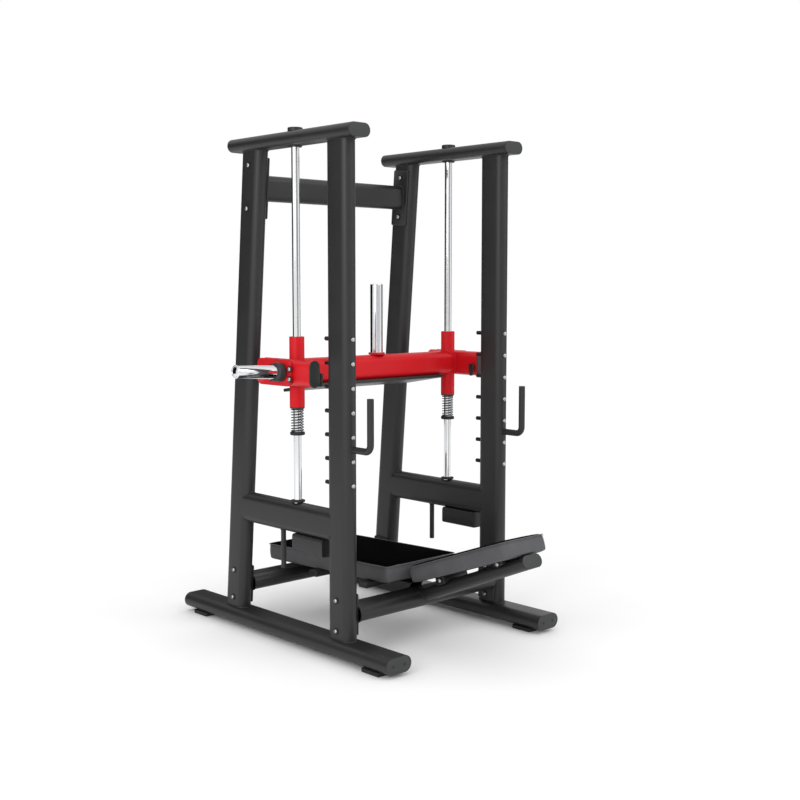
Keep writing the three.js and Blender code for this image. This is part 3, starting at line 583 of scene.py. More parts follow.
upright_chrome = chromed("hard_chrome_ground_shaft", (3, 3, 1 / 0.0015))
for side in SIDES:
    low, high = box_of(f"guide_rod_{side}")
    x = (low[0] + high[0]) / 2
    shaft = turned([(ROD_RADIUS - 0.001, low[2]), (ROD_RADIUS, low[2] + 0.001),
                    (ROD_RADIUS, high[2] - 0.001), (ROD_RADIUS - 0.001, high[2])], (x, rod_y, 0))
    piece(f"guide_rod_{side}_shaft", [shaft], upright_chrome, "frame", [f"guide_rod_{side}"])

    # Black round cap nut on the rod's upper end, with an eased rim and a shallow dish on top.
    low, high = box_of(f"guide_rod_nut_{side}")
    radius = (high[0] - low[0]) / 2
    nut = turned([(radius - 0.0012, low[2]), (radius, low[2] + 0.0012)]
                 + rounded(radius, high[2], 0.003)
                 + [(radius * 0.62, high[2]), (radius * 0.58, high[2] - 0.0012), (0.002, high[2] - 0.0012)],
                 (x, rod_y, 0))
    piece(f"guide_rod_nut_{side}_cap", [nut], black_powder, "frame",
          [f"guide_rod_nut_{side}"])

    # Rubber stop ring at the rod's foot, with a raised inner lip.
    low, high = box_of(f"guide_rod_stop_{side}")
    radius = (high[0] - low[0]) / 2
    profile = [(ROD_RADIUS + 0.0004, low[2]), (radius - 0.0015, low[2])]
    profile += rounded(radius, high[2] - 0.002, 0.002)
    profile += [(radius * 0.72, high[2] - 0.002), (radius * 0.68, high[2]), (ROD_RADIUS + 0.0004, high[2])]
    piece(f"guide_rod_stop_{side}_ring", [turned(profile, (x, rod_y, 0), closed=True)], black_rubber,
          "frame", [f"guide_rod_stop_{side}"])

# ---------------------------------------------------------------- pegs
# Seven round steel pegs through each front upright on one strip. They stand 6 mm proud in front, in
# bright plated domes, and reach 31 mm out behind, where the carriage's catches swing over them.

# Bright zinc plate: light grey, half sharp, with faint clouding about 6 mm across.
zinc_steel, tree, shader = surface_finish("zinc_plated_steel", "b4b6b8", 1, 0.3)
place = add(tree, "ShaderNodeTexCoord").outputs["Object"]
spangle = add(tree, "ShaderNodeTexNoise", {"Scale": 1 / 0.006, "Detail": 4}, {"Vector": place})
dull = add(tree, "ShaderNodeMapRange", {"To Min": 0.2, "To Max": 0.42}, {"Value": spangle.outputs["Fac"]})
tone = add(tree, "ShaderNodeMapRange", {"To Min": 0.9, "To Max": 1.08}, {"Value": spangle.outputs["Fac"]})
tinted = add(tree, "ShaderNodeHueSaturation", {"Color": linear("b4b6b8")}, {"Value": tone.outputs["Result"]})
tree.links.new(dull.outputs["Result"], shader.inputs["Roughness"])
tree.links.new(tinted.outputs["Color"], shader.inputs["Base Color"])

PEGS = 7
PEG_PITCH = 0.08775
PEG_RADIUS = 0.008
DOME_TALL = 0.0045
STRIP_THICK, STRIP_WIDE = 0.008, 0.022
for side in SIDES:
    low, high = box_of(f"peg_rack_{side}")
    x = (low[0] + high[0]) / 2
    shells = [bar_along(rounded_rectangle(STRIP_THICK, STRIP_WIDE, 0.001), (x, front_y, low[2]),
                        (x, front_y, high[2]), X, Y)]
    domes = []
    heights = high[2] - 2 * PEG_RADIUS - PEG_PITCH * np.arange(PEGS)
    turn = np.linspace(0, np.pi / 2, 7)[:-1]
    dome = np.stack([PEG_RADIUS * np.cos(turn), DOME_TALL * np.sin(turn)], 1)
    length = high[1] - low[1]
    for z in heights:
        profile = [(PEG_RADIUS - 0.001, 0), (PEG_RADIUS, 0.001), (PEG_RADIUS, length - 0.0072)]
        shells.append(turned(profile, (x, high[1], z), (0, -1, 0), around=28))
        profile = [(PEG_RADIUS, length - 0.0070)] + (dome + [0, length - DOME_TALL]).tolist()
        profile.append((0.0008, length))
        domes.append(turned(profile, (x, high[1], z), (0, -1, 0), around=28))
    piece(f"peg_shanks_{side}", shells, blackened_steel, "frame", [f"peg_rack_{side}"])
    piece(f"peg_heads_{side}", domes, zinc_steel, "frame")

# ---------------------------------------------------------------- hand grips
# 25 mm round bar bent to an L, welded into the front of each upright, coated black. The bar's free
# end is faced off with a small chamfer.

GRIP_RADIUS, GRIP_BEND = 0.0125, 0.026
for side in SIDES:
    low, high = box_of(f"hand_grip_{side}")
    x = (low[0] + high[0]) / 2
    level, bar_y = low[2] + GRIP_RADIUS, low[1] + GRIP_RADIUS
    turn = np.linspace(0, np.pi / 2, 14)
    bend = np.stack([np.full_like(turn, x), bar_y + GRIP_BEND * (1 - np.sin(turn)),
                     level + GRIP_BEND * (1 - np.cos(turn))], 1)
    path = np.concatenate([[(x, high[1], level)], bend, [(x, bar_y, high[2] - 0.0015), (x, bar_y, high[2])]])
    radii = np.full(len(path), GRIP_RADIUS)
    radii[-1] -= 0.0015
    grip = carried(path, np.array(X, float), radii, 32, closed=False)
    turn = np.linspace(0, 2 * np.pi, 48, endpoint=False)
    across = GRIP_RADIUS * np.cos(turn)
    front_round = front_y - (WIDE - THIN) / 2 - np.sqrt((THIN / 2) ** 2 - across ** 2)
    joint = np.stack([x + across, front_round, level + GRIP_RADIUS * np.sin(turn)], 1)
    piece(f"hand_grip_{side}_bar", [grip, weld(joint, Y, size=0.0022)], black_powder, "frame",
          [f"hand_grip_{side}"])

# ---------------------------------------------------------------- cross members
# Two flat-oval tubes near the floor and one lighter tube on edge behind the top. Each ends in an
# 8 mm plate with eased corners, bolted through the upright.

FLANGE_THICK, FLANGE_DEEP, FLANGE_CORNER = 0.008, 0.086, 0.006
PLATE_EASE = 0.0012
BEAM_SECTION = (0.100, 0.050)
crosses = {
    "lower_front_crossmember": (WIDE, THIN, False, 0.0),
    "lower_rear_crossmember": (WIDE, THIN, False, lean),
    "upper_rear_beam": (*BEAM_SECTION, True, lean),
}
for node, (wide, thin, on_edge, tilt) in crosses.items():
    low, high = box_of(node)
    middle = (low + high) / 2
    flange_tall = ((high[2] - low[2]) - FLANGE_DEEP * math.sin(tilt)) / math.cos(tilt)
    up = np.array([0, -math.sin(tilt), math.cos(tilt)])
    across = np.array([0, math.cos(tilt), math.sin(tilt)])
    reach = high[0] - FLANGE_THICK

    def ring(x, shrink):
        u, v = oval(wide - 2 * shrink, thin - 2 * shrink).T
        y, z = (v, u) if on_edge else (u, v)
        return np.stack([np.full_like(u, x), middle[1] + y, middle[2] + z], 1)
    tube = skin([ring(-reach, 0), ring(reach, 0), ring(reach, WALL), ring(-reach, WALL)], closed=True)
    shells = [tube]
    for way in (-1, 1):
        plate = rounded_rectangle(FLANGE_DEEP, flange_tall, FLANGE_CORNER)
        start = middle + [way * reach, 0, 0]
        shells.append(bar_along(plate, start, start + [way * FLANGE_THICK, 0, 0], across, up, PLATE_EASE))
        shells.append(weld(ring(way * reach, 0), X))
    piece(f"{node}_steel", shells, black_powder, "frame", [node])

# ---------------------------------------------------------------- seat frame
# A 60 mm square spine between the lower cross tubes with two flat crossbars on it, all welded.
# The crossbars lie at the seat's slope and carry its board.

SPINE = 0.060
CROSSBAR_WIDE, CROSSBAR_TALL = 0.050, 0.024
SEAT_SLOPE = math.radians(1.9)
SPINE_TOP = 0.216
CROSS_TUBE_Z = 0.166
SEAT_FRONT_TOP = 0.311
SEAT_THICK = 0.070
CROSSBAR_RUNS = (0.108, 0.412)
low, high = box_of("seat_frame")
spine_z = SPINE_TOP - SPINE / 2
cross_rear = box_of("lower_rear_crossmember")
rear_cross_y = (cross_rear[0][1] + cross_rear[1][1]) / 2


def spine_end(shrink, centre_y, way):
    """The spine's square section, saddled over the half round of a lower cross tube."""
    u, v = rounded_rectangle(SPINE - 2 * shrink, SPINE - 2 * shrink, 0.006 - shrink).T
    z = spine_z + v
    off = np.clip(z - CROSS_TUBE_Z, -THIN / 2, THIN / 2)
    y = centre_y + way * ((WIDE - THIN) / 2 + np.sqrt((THIN / 2) ** 2 - off ** 2))
    return np.stack([u, y, z], 1)


shells = [skin([spine_end(0, front_y, 1), spine_end(0, rear_cross_y, -1),
                spine_end(WALL, rear_cross_y, -1), spine_end(WALL, front_y, 1)], closed=True),
          weld(spine_end(0, front_y, 1), Y), weld(spine_end(0, rear_cross_y, -1), Y)]
seat_low = box_of("seat_pad")[0]
for run in CROSSBAR_RUNS:
    y = seat_low[1] + run
    under_seat = SEAT_FRONT_TOP - SEAT_THICK / math.cos(SEAT_SLOPE) - run * math.tan(SEAT_SLOPE)
    z = under_seat - CROSSBAR_TALL / 2 - 0.0003
    along = np.array([0, math.cos(SEAT_SLOPE), -math.sin(SEAT_SLOPE)])
    up = np.array([0, math.sin(SEAT_SLOPE), math.cos(SEAT_SLOPE)])
    bar = rounded_rectangle(CROSSBAR_WIDE, CROSSBAR_TALL, 0.004)
    shells.append(bar_along(bar, (low[0], y, z), (high[0], y, z), along, up, 0.001))
    for way in (-1, 1):
        line = [(way * SPINE / 2, y + t, z - CROSSBAR_TALL / 2) for t in (-0.022, 0.022)]
        shells.append(weld(line, Z, closed=False))
piece("seat_frame_steel", shells, black_powder, "frame", ["seat_frame"])

# ---------------------------------------------------------------- back support
# A 100 by 50 flat-oval tube that rises forward from the front cross tube at 22.5 degrees, with two
# plate brackets welded across it. The pad's board is bolted to the brackets; a plug closes the tip.

SUPPORT_INCLINE = math.radians(22.5)
BACK_INCLINE = math.radians(19.8)
SUPPORT_WIDE, SUPPORT_THIN = 0.100, 0.050
back_out = np.array([0, -math.cos(BACK_INCLINE), math.sin(BACK_INCLINE)])
back_up = np.array([0, math.sin(BACK_INCLINE), math.cos(BACK_INCLINE)])
BACK_FOOT_AHEAD, BACK_FOOT_Z = 0.0396, 0.237
TIP_AHEAD, TIP_Z = 0.558, 0.39413
back_foot = np.array([0, front_y - BACK_FOOT_AHEAD, BACK_FOOT_Z])
tip = np.array([0, front_y - TIP_AHEAD, TIP_Z])
support_out = np.array([0, -math.cos(SUPPORT_INCLINE), math.sin(SUPPORT_INCLINE)])
support_up = np.array([0, math.sin(SUPPORT_INCLINE), math.cos(SUPPORT_INCLINE)])
support_length = (front_y - tip[1]) / math.cos(SUPPORT_INCLINE)


def support_ring(at, shrink):
    """The support tube's section at a distance down from its tip."""
    u, v = oval(SUPPORT_WIDE - 2 * shrink, SUPPORT_THIN - 2 * shrink).T
    return tip - at * support_out + u[:, None] * np.array(X) + v[:, None] * support_up


def support_saddle(shrink):
    """The tube's lower end, carried along its own direction until it meets the cross tube's round."""
    ring = support_ring(0, shrink)
    distance = np.linspace(support_length - 0.16, support_length, 600)
    line = ring[:, None] - distance[None, :, None] * support_out
    away_y = np.maximum(np.abs(line[..., 1] - front_y) - (WIDE - THIN) / 2, 0)
    inside = np.hypot(away_y, line[..., 2] - CROSS_TUBE_Z) < THIN / 2
    return line[np.arange(len(ring)), inside.argmax(1)]


shells = [skin([support_ring(0, 0), support_saddle(0), support_saddle(WALL), support_ring(0, WALL)],
               closed=True),
          weld(support_saddle(0), support_out)]
BRACKET_WIDE, BRACKET_RUN, BRACKET_PLATE = 0.130, 0.046, 0.005
BRACKET_RUNS = (0.125, 0.435)
bracket_bolts = []
for run in BRACKET_RUNS:
    top = back_foot + run * back_out
    tube_top = tip + (top[1] - tip[1]) / support_out[1] * support_out + support_up * SUPPORT_THIN / 2
    depth = top[2] - tube_top[2] + 0.004
    ease = rounded_rectangle(BRACKET_WIDE, BRACKET_RUN, 0.005)
    shells.append(bar_along(ease, top - back_up * 0.0003, top - back_up * 0.0053, X, back_out, 0.001))
    for way in (-1, 1):
        cheek = rounded_rectangle(BRACKET_RUN, depth, 0.004)
        middle = top - back_up * depth / 2
        start = middle + np.array([way * (BRACKET_WIDE / 2 - BRACKET_PLATE - 0.001), 0, 0])
        end = start + [way * BRACKET_PLATE, 0, 0]
        shells.append(bar_along(cheek, start, end, back_out, back_up, 0.0008))
        bracket_bolts.append((middle + [way * (BRACKET_WIDE / 2 - 0.001), 0, 0], (way, 0, 0)))
    web = rounded_rectangle(BRACKET_WIDE - 0.01, depth - 0.006, 0.003)
    for face in (-1, 1):
        start = top - back_up * (depth / 2 + 0.002) + back_out * face * (BRACKET_RUN / 2 - 0.006)
        shells.append(bar_along(web, start, start + back_out * face * BRACKET_PLATE, X, back_up, 0.0008))
piece("back_support_steel", shells, black_powder, "frame", ["back_support"])

shell = cap_shell(lambda inset: oval(SUPPORT_WIDE - 2 * inset, SUPPORT_THIN - 2 * inset),
                  tip + support_out * 0.0033, support_out, X, support_up, 0.0029)
piece("back_support_cap_cover", [shell], moulded_plastic, "frame", ["back_support_cap"])

# ---------------------------------------------------------------- carriage
# Red box beam and two side tubes, flat oval on edge, welded to the two long sleeves that slide on
# the guide rods. A plate on each side tube carries a plate horn.

beam_low, beam_high = box_of("carriage_beam")
beam_middle = (beam_low + beam_high) / 2
BEAM_TALL, BEAM_DEEP = beam_high[2] - beam_low[2], beam_high[1] - beam_low[1]
carriage_z = beam_middle[2]


def beam_ring(x, shrink):
    """The beam's section on edge at a place along X."""
    u, v = oval(BEAM_TALL - 2 * shrink, BEAM_DEEP - 2 * shrink).T
    return np.stack([np.full_like(u, x), beam_middle[1] + v, carriage_z + u], 1)


shells = [skin([beam_ring(beam_low[0], 0), beam_ring(beam_high[0], 0),
                beam_ring(beam_high[0], WALL), beam_ring(beam_low[0], WALL)], closed=True)]
shells += [weld(beam_ring(x, 0), X) for x in (beam_low[0], beam_high[0])]
piece("carriage_beam_steel", shells, red_powder, "carriage", ["carriage_beam"])

TUBE_TALL, TUBE_WIDE = 0.100, 0.050
BUSH_LIP, BUSH_DEEP = 0.006, 0.040
bush_shells = []
for side, way in SIDES.items():
    low, high = box_of(f"carriage_side_tube_{side}")
    x = (low[0] + high[0]) / 2
    tube = tube_along_y(TUBE_TALL, TUBE_WIDE, x, carriage_z, low[1], high[1], upright=True)
    piece(f"carriage_side_tube_{side}_steel", [tube], red_powder, "carriage",
          [f"carriage_side_tube_{side}"])

    # The sleeve, with a black plastic guide bush pressed into each end: its lip shows as a ring.
    low, high = box_of(f"guide_sleeve_{side}")
    radius, bore = (high[0] - low[0]) / 2, ROD_RADIUS + 0.0005
    x = (low[0] + high[0]) / 2
    bottom, top = low[2] + BUSH_LIP, high[2]
    profile = [(bore + 0.004, top), (bore + 0.004, bottom), (radius - 0.001, bottom)]
    profile.append((radius, bottom + 0.001))
    profile += rounded(radius, top, 0.0015)
    sleeve = turned(profile, (x, rod_y, 0), closed=True)
    beads = []
    for z_way in (-1, 1):
        turn = np.linspace(-np.pi / 2, np.pi / 2, 40)
        reach = radius + 0.0005
        arc = np.stack([x - way * reach * np.cos(turn), rod_y + reach * np.sin(turn),
                        carriage_z + z_way * (BEAM_TALL / 2 - 0.012 * (1 - np.cos(turn)))], 1)
        arc = arc[np.abs(arc[:, 1] - rod_y) < BEAM_DEEP / 2 - 0.004]
        beads.append(weld(arc, Z, closed=False, size=0.0025))
    piece(f"guide_sleeve_{side}_steel", [sleeve] + beads, red_powder, "carriage",
          [f"guide_sleeve_{side}"])
    bush_shells.append(turned(
        [(bore, low[2] + BUSH_DEEP), (bore, low[2]), (radius - 0.002, low[2]),
         (radius - 0.0008, low[2] + 0.001), (radius - 0.0008, bottom - 0.0003),
         (bore + 0.0038, bottom - 0.0003), (bore + 0.0038, low[2] + BUSH_DEEP)],
        (x, rod_y, 0), closed=True))
    bush_shells.append(turned(
        [(bore, top - BUSH_DEEP), (bore, top - 0.001), (bore + 0.001, top), (bore + 0.0038, top),
         (bore + 0.0038, top - BUSH_DEEP)], (x, rod_y, 0), closed=True))

    low, high = box_of(f"side_tube_cap_{side}")
    x = (low[0] + high[0]) / 2
    shell = cap_shell(lambda inset: oval(TUBE_TALL - 2 * inset, TUBE_WIDE - 2 * inset)[:, ::-1],
                      (x, low[1], carriage_z), (0, -1, 0), X, Z, 0.0029)
    piece(f"side_tube_cap_{side}_cover", [shell], moulded_plastic, "carriage",
          [f"side_tube_cap_{side}"])

    low, high = box_of(f"horn_plate_{side}")
    centre, size = (low + high) / 2, high - low
    plate = rounded_rectangle(size[1], size[2], 0.024, points=14)
    shell = bar_along(plate, (low[0], centre[1], centre[2]), (high[0], centre[1], centre[2]), Y, Z,
                      PLATE_EASE)
    piece(f"horn_plate_{side}_steel", [shell], red_powder, "carriage",
          [f"horn_plate_{side}"])

piece("guide_bushes", bush_shells, moulded_plastic, "carriage")

# ---------------------------------------------------------------- plate horns
# Chromed 50 mm tube for plates with a standard hole. The side horns stand 3 degrees up out of
# a black collar; the middle one stands straight on a red ring welded to the beam. Each tip has an
# eased rim and is closed by a chromed plug pressed in almost flush.

HORN_RADIUS = 0.025
TIP_EDGE, TIP_BORE, PLUG_DEPTH = 0.0045, 0.0190, 0.0008
HORN_TILT = math.radians(3)
HORN_LENGTH, HORN_LIFT = 0.208, 0.002
COLLAR_RADIUS, COLLAR_THICK = 0.0355, 0.030
PLATE_FACE_X = 0.4753
side_chrome = chromed("hard_chrome_side_horn", (1 / 0.0015, 3, 3))


def horn_profile(start, length):
    """A tube from its foot to a rounded tip, then down inside to the plug."""
    turn = np.linspace(0, np.pi / 2, 6)
    rim = np.stack([HORN_RADIUS - TIP_EDGE + TIP_EDGE * np.cos(turn),
                    length - TIP_EDGE + TIP_EDGE * np.sin(turn)], 1)
    return ([(HORN_RADIUS, start)] + rim.tolist() + [(TIP_BORE, length - 0.001), (TIP_BORE, length - 0.02)])


def plug_profile(length):
    """A plug with a soft edge and a very shallow dish inside the horn's tip."""
    top = length - PLUG_DEPTH
    return [(TIP_BORE - 0.0002, top - 0.012), (TIP_BORE - 0.0002, top - 0.001), (TIP_BORE - 0.0015, top),
            (TIP_BORE - 0.006, top), (TIP_BORE - 0.008, top + 0.0008), (0.001, top + 0.0012)]


plug_shells = []
for side, way in SIDES.items():
    low, high = box_of(f"plate_horn_{side}")
    axis = np.array([way * math.cos(HORN_TILT), 0, math.sin(HORN_TILT)])
    foot_x = PLATE_FACE_X + 0.0003 + COLLAR_RADIUS * math.sin(HORN_TILT)
    foot = np.array([way * foot_x, (low[1] + high[1]) / 2, carriage_z + HORN_LIFT])
    horn = turned(horn_profile(COLLAR_THICK - 0.006, HORN_LENGTH), foot, axis)
    piece(f"plate_horn_{side}_tube", [horn], side_chrome, "carriage", [f"plate_horn_{side}"])
    collar = turned([(0.012, 0.0002), (COLLAR_RADIUS - 0.001, 0.0002), (COLLAR_RADIUS, 0.0012)]
                    + rounded(COLLAR_RADIUS, COLLAR_THICK, 0.004)
                    + [(HORN_RADIUS + 0.0003, COLLAR_THICK), (HORN_RADIUS + 0.0003, COLLAR_THICK - 0.007),
                       (0.012, COLLAR_THICK - 0.007)], foot, axis, closed=True)
    piece(f"horn_collar_{side}", [collar], moulded_plastic, "carriage")
    plug_shells.append(turned(plug_profile(HORN_LENGTH), foot, axis))

low, high = box_of("plate_horn_centre")
foot = np.array([0, rod_y, low[2]])
ring_radius, ring_thick = 0.033, 0.008
length = high[2] - low[2]
piece("plate_horn_centre_tube", [turned(horn_profile(ring_thick, length), foot)], upright_chrome,
      "carriage", ["plate_horn_centre"])
ring = turned([(HORN_RADIUS + 0.0002, 0)] + [(ring_radius, 0)] + rounded(ring_radius, ring_thick, 0.003)
              + [(HORN_RADIUS + 0.0002, ring_thick)], foot, closed=True)
piece("horn_ring_centre", [ring], red_powder, "carriage")
plug_shells.append(turned(plug_profile(length), foot))
piece("horn_tip_plugs", plug_shells, upright_chrome, "carriage")

# ---------------------------------------------------------------- foot plate
# Plain steel plate under the beam, coated black, with its rear edge low. Two gussets welded to the
# beam's rear and to the plate's top hold it.

FOOT_TILT = math.radians(9.5)
PLATE_THICK, PLATE_RUN, PLATE_AHEAD = 0.012, 0.214, 0.0405
GUSSET_SPACING, GUSSET_THICK, GUSSET_RUN = 0.420, 0.008, 0.110
low, high = box_of("foot_plate")
plate_back = np.array([0, math.cos(FOOT_TILT), -math.sin(FOOT_TILT)])
plate_up = np.array([0, math.sin(FOOT_TILT), math.cos(FOOT_TILT)])
front_edge_y = rod_y - PLATE_AHEAD
front_edge = np.array([0, front_edge_y, beam_low[2] - 0.0003 + PLATE_AHEAD * math.tan(FOOT_TILT)])
deep = PLATE_RUN / math.cos(FOOT_TILT)
middle = front_edge + plate_back * deep / 2
slab = rounded_rectangle(high[0] - low[0], deep, 0.012, points=10)
shells = [bar_along(slab, middle, middle - plate_up * PLATE_THICK, X, plate_back, 0.0015)]
beam_rear = rod_y + BEAM_DEEP / 2
for way in (-1, 1):
    gusset_x = way * GUSSET_SPACING / 2
    corners = [(beam_rear + 0.0003, carriage_z + BEAM_TALL / 4)]
    for y in (beam_rear + 0.0003, beam_rear + GUSSET_RUN):
        corners.append((y, front_edge[2] - (y - front_edge_y) * math.tan(FOOT_TILT) - 0.002))
    corners = np.array(corners)
    centre = corners.mean(0)
    ring = lambda at, shrink: np.column_stack(
        [np.full(3, gusset_x + at), centre + (corners - centre) * (1 - shrink)])
    half = GUSSET_THICK / 2
    shells.append(skin([ring(-half, 0.03), ring(-half + 0.001, 0), ring(half - 0.001, 0), ring(half, 0.03)]))
    foot_line = [(gusset_x + half, *corners[1]), (gusset_x + half, *corners[2])]
    shells.append(weld(np.array(foot_line) + [0, 0, 0.002], Z, closed=False))
piece("foot_plate_steel", shells, black_powder, "carriage", ["foot_plate"])

# ---------------------------------------------------------------- buffers
# A loose coil spring of 4 mm oiled wire hangs round each rod under its sleeve, with a black ring
# at its foot that meets the stop. The coil is drawn at one length; in use it shortens as the ring is pushed
# up.

# Drawn spring wire, oiled: mid grey and shiny.
spring_wire, tree, shader = surface_finish("oiled_spring_wire", "55585b", 1, 0.22)
place = add(tree, "ShaderNodeTexCoord").outputs["Object"]
drawn = add(tree, "ShaderNodeTexNoise", {"Scale": 1 / 0.002, "Detail": 2}, {"Vector": place})
dull = add(tree, "ShaderNodeMapRange", {"To Min": 0.15, "To Max": 0.3}, {"Value": drawn.outputs["Fac"]})
tree.links.new(dull.outputs["Result"], shader.inputs["Roughness"])

WIRE = 0.002
TURNS = 9.0
for side in SIDES:
    low, high = box_of(f"buffer_spring_{side}")
    x = (low[0] + high[0]) / 2
    coil = (high[1] - low[1]) / 2 - WIRE
    t = np.linspace(0, 1, round(TURNS * 28))
    # Height rises slowly over the first and last turn, so that both ends lie closed.
    pitch = np.clip(np.minimum(t, 1 - t) * TURNS, 0.32, 1)
    climb = np.concatenate([[0], np.cumsum((pitch[1:] + pitch[:-1]) / 2)])
    climb /= climb[-1]
    angle = 2 * np.pi * TURNS * t
    path = np.stack([x + coil * np.cos(angle), rod_y + coil * np.sin(angle),
                     low[2] + WIRE + climb * (high[2] - low[2] - 2 * WIRE)], 1)
    spring = piece(f"buffer_spring_{side}_coil",
                   [carried(path, np.array(Z, float), WIRE, 10, closed=False)], spring_wire,
                   "carriage", [f"buffer_spring_{side}"])
    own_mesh(spring)

    low, high = box_of(f"buffer_ring_{side}")
    radius, bore = (high[0] - low[0]) / 2, ROD_RADIUS + 0.0005
    profile = [(bore, high[2] - 0.001), (bore, low[2] + 0.001), (bore + 0.001, low[2])]
    profile += [(radius - 0.003, low[2]), (radius - 0.0009, low[2] + 0.0009), (radius, low[2] + 0.003)]
    profile += rounded(radius, high[2], 0.003) + [(bore + 0.001, high[2])]
    piece(f"buffer_ring_{side}_body", [turned(profile, (x, rod_y, 0), closed=True)], black_rubber,
          f"buffer_{side}", [f"buffer_ring_{side}"])

# ---------------------------------------------------------------- catches
# A blackened steel pawl on a pin in each side tube. It hangs plumb and swings forward over a peg.

CATCH_LENGTH, CATCH_WIDTH, CATCH_THICK, CATCH_EYE = 0.040, 0.012, 0.012, 0.011
PIN_RADIUS, PIN_HEAD_RADIUS, PIN_HEAD_TALL = 0.005, 0.007, 0.003
FRAME_X = 0.402
for side, way in SIDES.items():
    low, high = box_of(f"peg_catch_{side}")
    pivot = np.array([way * FRAME_X, (low[1] + high[1]) / 2, low[2] + CATCH_LENGTH])
    turn = np.linspace(0, np.pi, 15)
    eye = np.stack([CATCH_EYE * np.cos(turn), CATCH_EYE * np.sin(turn)], 1)
    nose = np.stack([-CATCH_WIDTH / 2 * np.cos(turn), -CATCH_LENGTH + 0.006 - 0.006 * np.sin(turn)], 1)
    outline = np.concatenate([eye, nose])
    half = CATCH_THICK / 2

    def ring(at, shrink):
        small = outline * (1 - shrink)
        return pivot + np.column_stack([np.full(len(small), at), small])
    pawl = skin([ring(-half, 0.08), ring(-half + 0.001, 0), ring(half - 0.001, 0), ring(half, 0.08)])
    pin = turned([(PIN_RADIUS, 0), (PIN_RADIUS, 0.014)], pivot, (way, 0, 0), around=28)
    head = turned([(PIN_HEAD_RADIUS, 0)] + rounded(PIN_HEAD_RADIUS, PIN_HEAD_TALL, 0.002),
                  pivot - [way * half, 0, 0], (-way, 0, 0), around=28)
    piece(f"peg_catch_{side}_pawl", [pawl, pin, head], blackened_steel, f"catch_{side}",
          [f"peg_catch_{side}"])

# ---------------------------------------------------------------- bolts
# M10 button-head screws, plated bright, each on a near-black washer that also stands for the ring of painted
# shade round the head. They hold the cross members' flanges to the uprights, the horn plates to the carriage
# and the back pad's brackets.

HEAD_RADIUS, HEAD_TALL, HEAD_SKIRT, SOCKET = 0.0082, 0.0056, 0.0008, 0.0032
WASHER_RADIUS, WASHER_THICK = 0.0125, 0.0022


def button_head(centre, axis):
    """A low dome with a hexagon socket sunk in it."""
    w = np.array(axis, float)
    u = np.array([0, 0, 1.0]) if abs(w[2]) < 0.9 else np.array([1.0, 0, 0])
    v = np.cross(w, u)
    turn = np.linspace(0, 2 * np.pi, 48, endpoint=False)
    hexagon = SOCKET / np.cos((turn + np.pi / 6) % (np.pi / 3) - np.pi / 6)
    crown = 0.42
    dome = np.linspace(0.12, 1, 7) * np.arccos(crown)
    stations = [(np.full(48, HEAD_RADIUS), 0), (np.full(48, HEAD_RADIUS), HEAD_SKIRT)]
    for angle in dome:
        share = (1 - math.cos(angle)) / (1 - crown)
        height = HEAD_SKIRT + (HEAD_TALL - HEAD_SKIRT) * math.sin(angle) / math.sin(dome[-1])
        stations.append((np.full(48, HEAD_RADIUS * (1 - 0.5 * share)), height))
    stations += [(hexagon, HEAD_TALL), (hexagon * 0.96, HEAD_TALL - 0.0006)]
    stations.append((hexagon * 0.96, HEAD_TALL - 0.003))
    rings = []
    for radius, height in stations:
        flat = radius[:, None] * (np.cos(turn)[:, None] * u + np.sin(turn)[:, None] * v)
        rings.append(np.array(centre) + flat + (height + WASHER_THICK) * w)
    return skin(rings)


def washer(centre, axis):
    """A flat ring with eased edges."""
    edge = 0.0005
    profile = [(0.005, 0), (WASHER_RADIUS, 0), (WASHER_RADIUS, WASHER_THICK - edge),
               (WASHER_RADIUS - edge, WASHER_THICK), (0.005, WASHER_THICK)]
    return turned(profile, centre, axis, 36, closed=True)


FRONT_BOLT_HEIGHTS, FRONT_BOLT_BEHIND = (0.221, 0.107), 0.0045
REAR_BOLT_HEIGHTS = (1.824, 1.660, 0.225, 0.112)
HORN_BOLT_HEIGHTS, HORN_BOLT_BEHIND = (1.058, 1.021), (-0.050, 0.0655)
frame_bolts = []
for side, way in SIDES.items():
    outer = way * (FRAME_X + THIN / 2)
    inner = way * (FRAME_X - THIN / 2 - FLANGE_THICK - 0.0003)
    for z in FRONT_BOLT_HEIGHTS:
        y = front_y + FRONT_BOLT_BEHIND
        frame_bolts += [((outer, y, z), (way, 0, 0)), ((inner, y, z), (-way, 0, 0))]
    for z in REAR_BOLT_HEIGHTS:
        frame_bolts += [((outer, rear_y(z), z), (way, 0, 0)), ((inner, rear_y(z), z), (-way, 0, 0))]
carriage_bolts = []
for side, way in SIDES.items():
    plate_face = box_of(f"horn_plate_{side}")[0 if way < 0 else 1][0]
    for behind in HORN_BOLT_BEHIND:
        carriage_bolts += [((plate_face, rod_y + behind, z), (way, 0, 0)) for z in HORN_BOLT_HEIGHTS]

for name, bolts, body in (("frame", frame_bolts + bracket_bolts, "frame"),
                          ("carriage", carriage_bolts, "carriage")):
    piece(f"{name}_bolt_heads", [button_head(*bolt) for bolt in bolts], zinc_steel, body)
    piece(f"{name}_bolt_washers_painted_shade", [washer(*bolt) for bolt in bolts], blackened_steel, body)

# ---------------------------------------------------------------- pads
# Firm foam on a board, covered in black vinyl with a fine leather grain. Each is boxed: a top
# panel and a side band meet in a piped seam, with a row of stitches just under it.

GRAIN = 0.0022  # a pebble is about 1 mm, drawn at 2.2 mm so that it shows


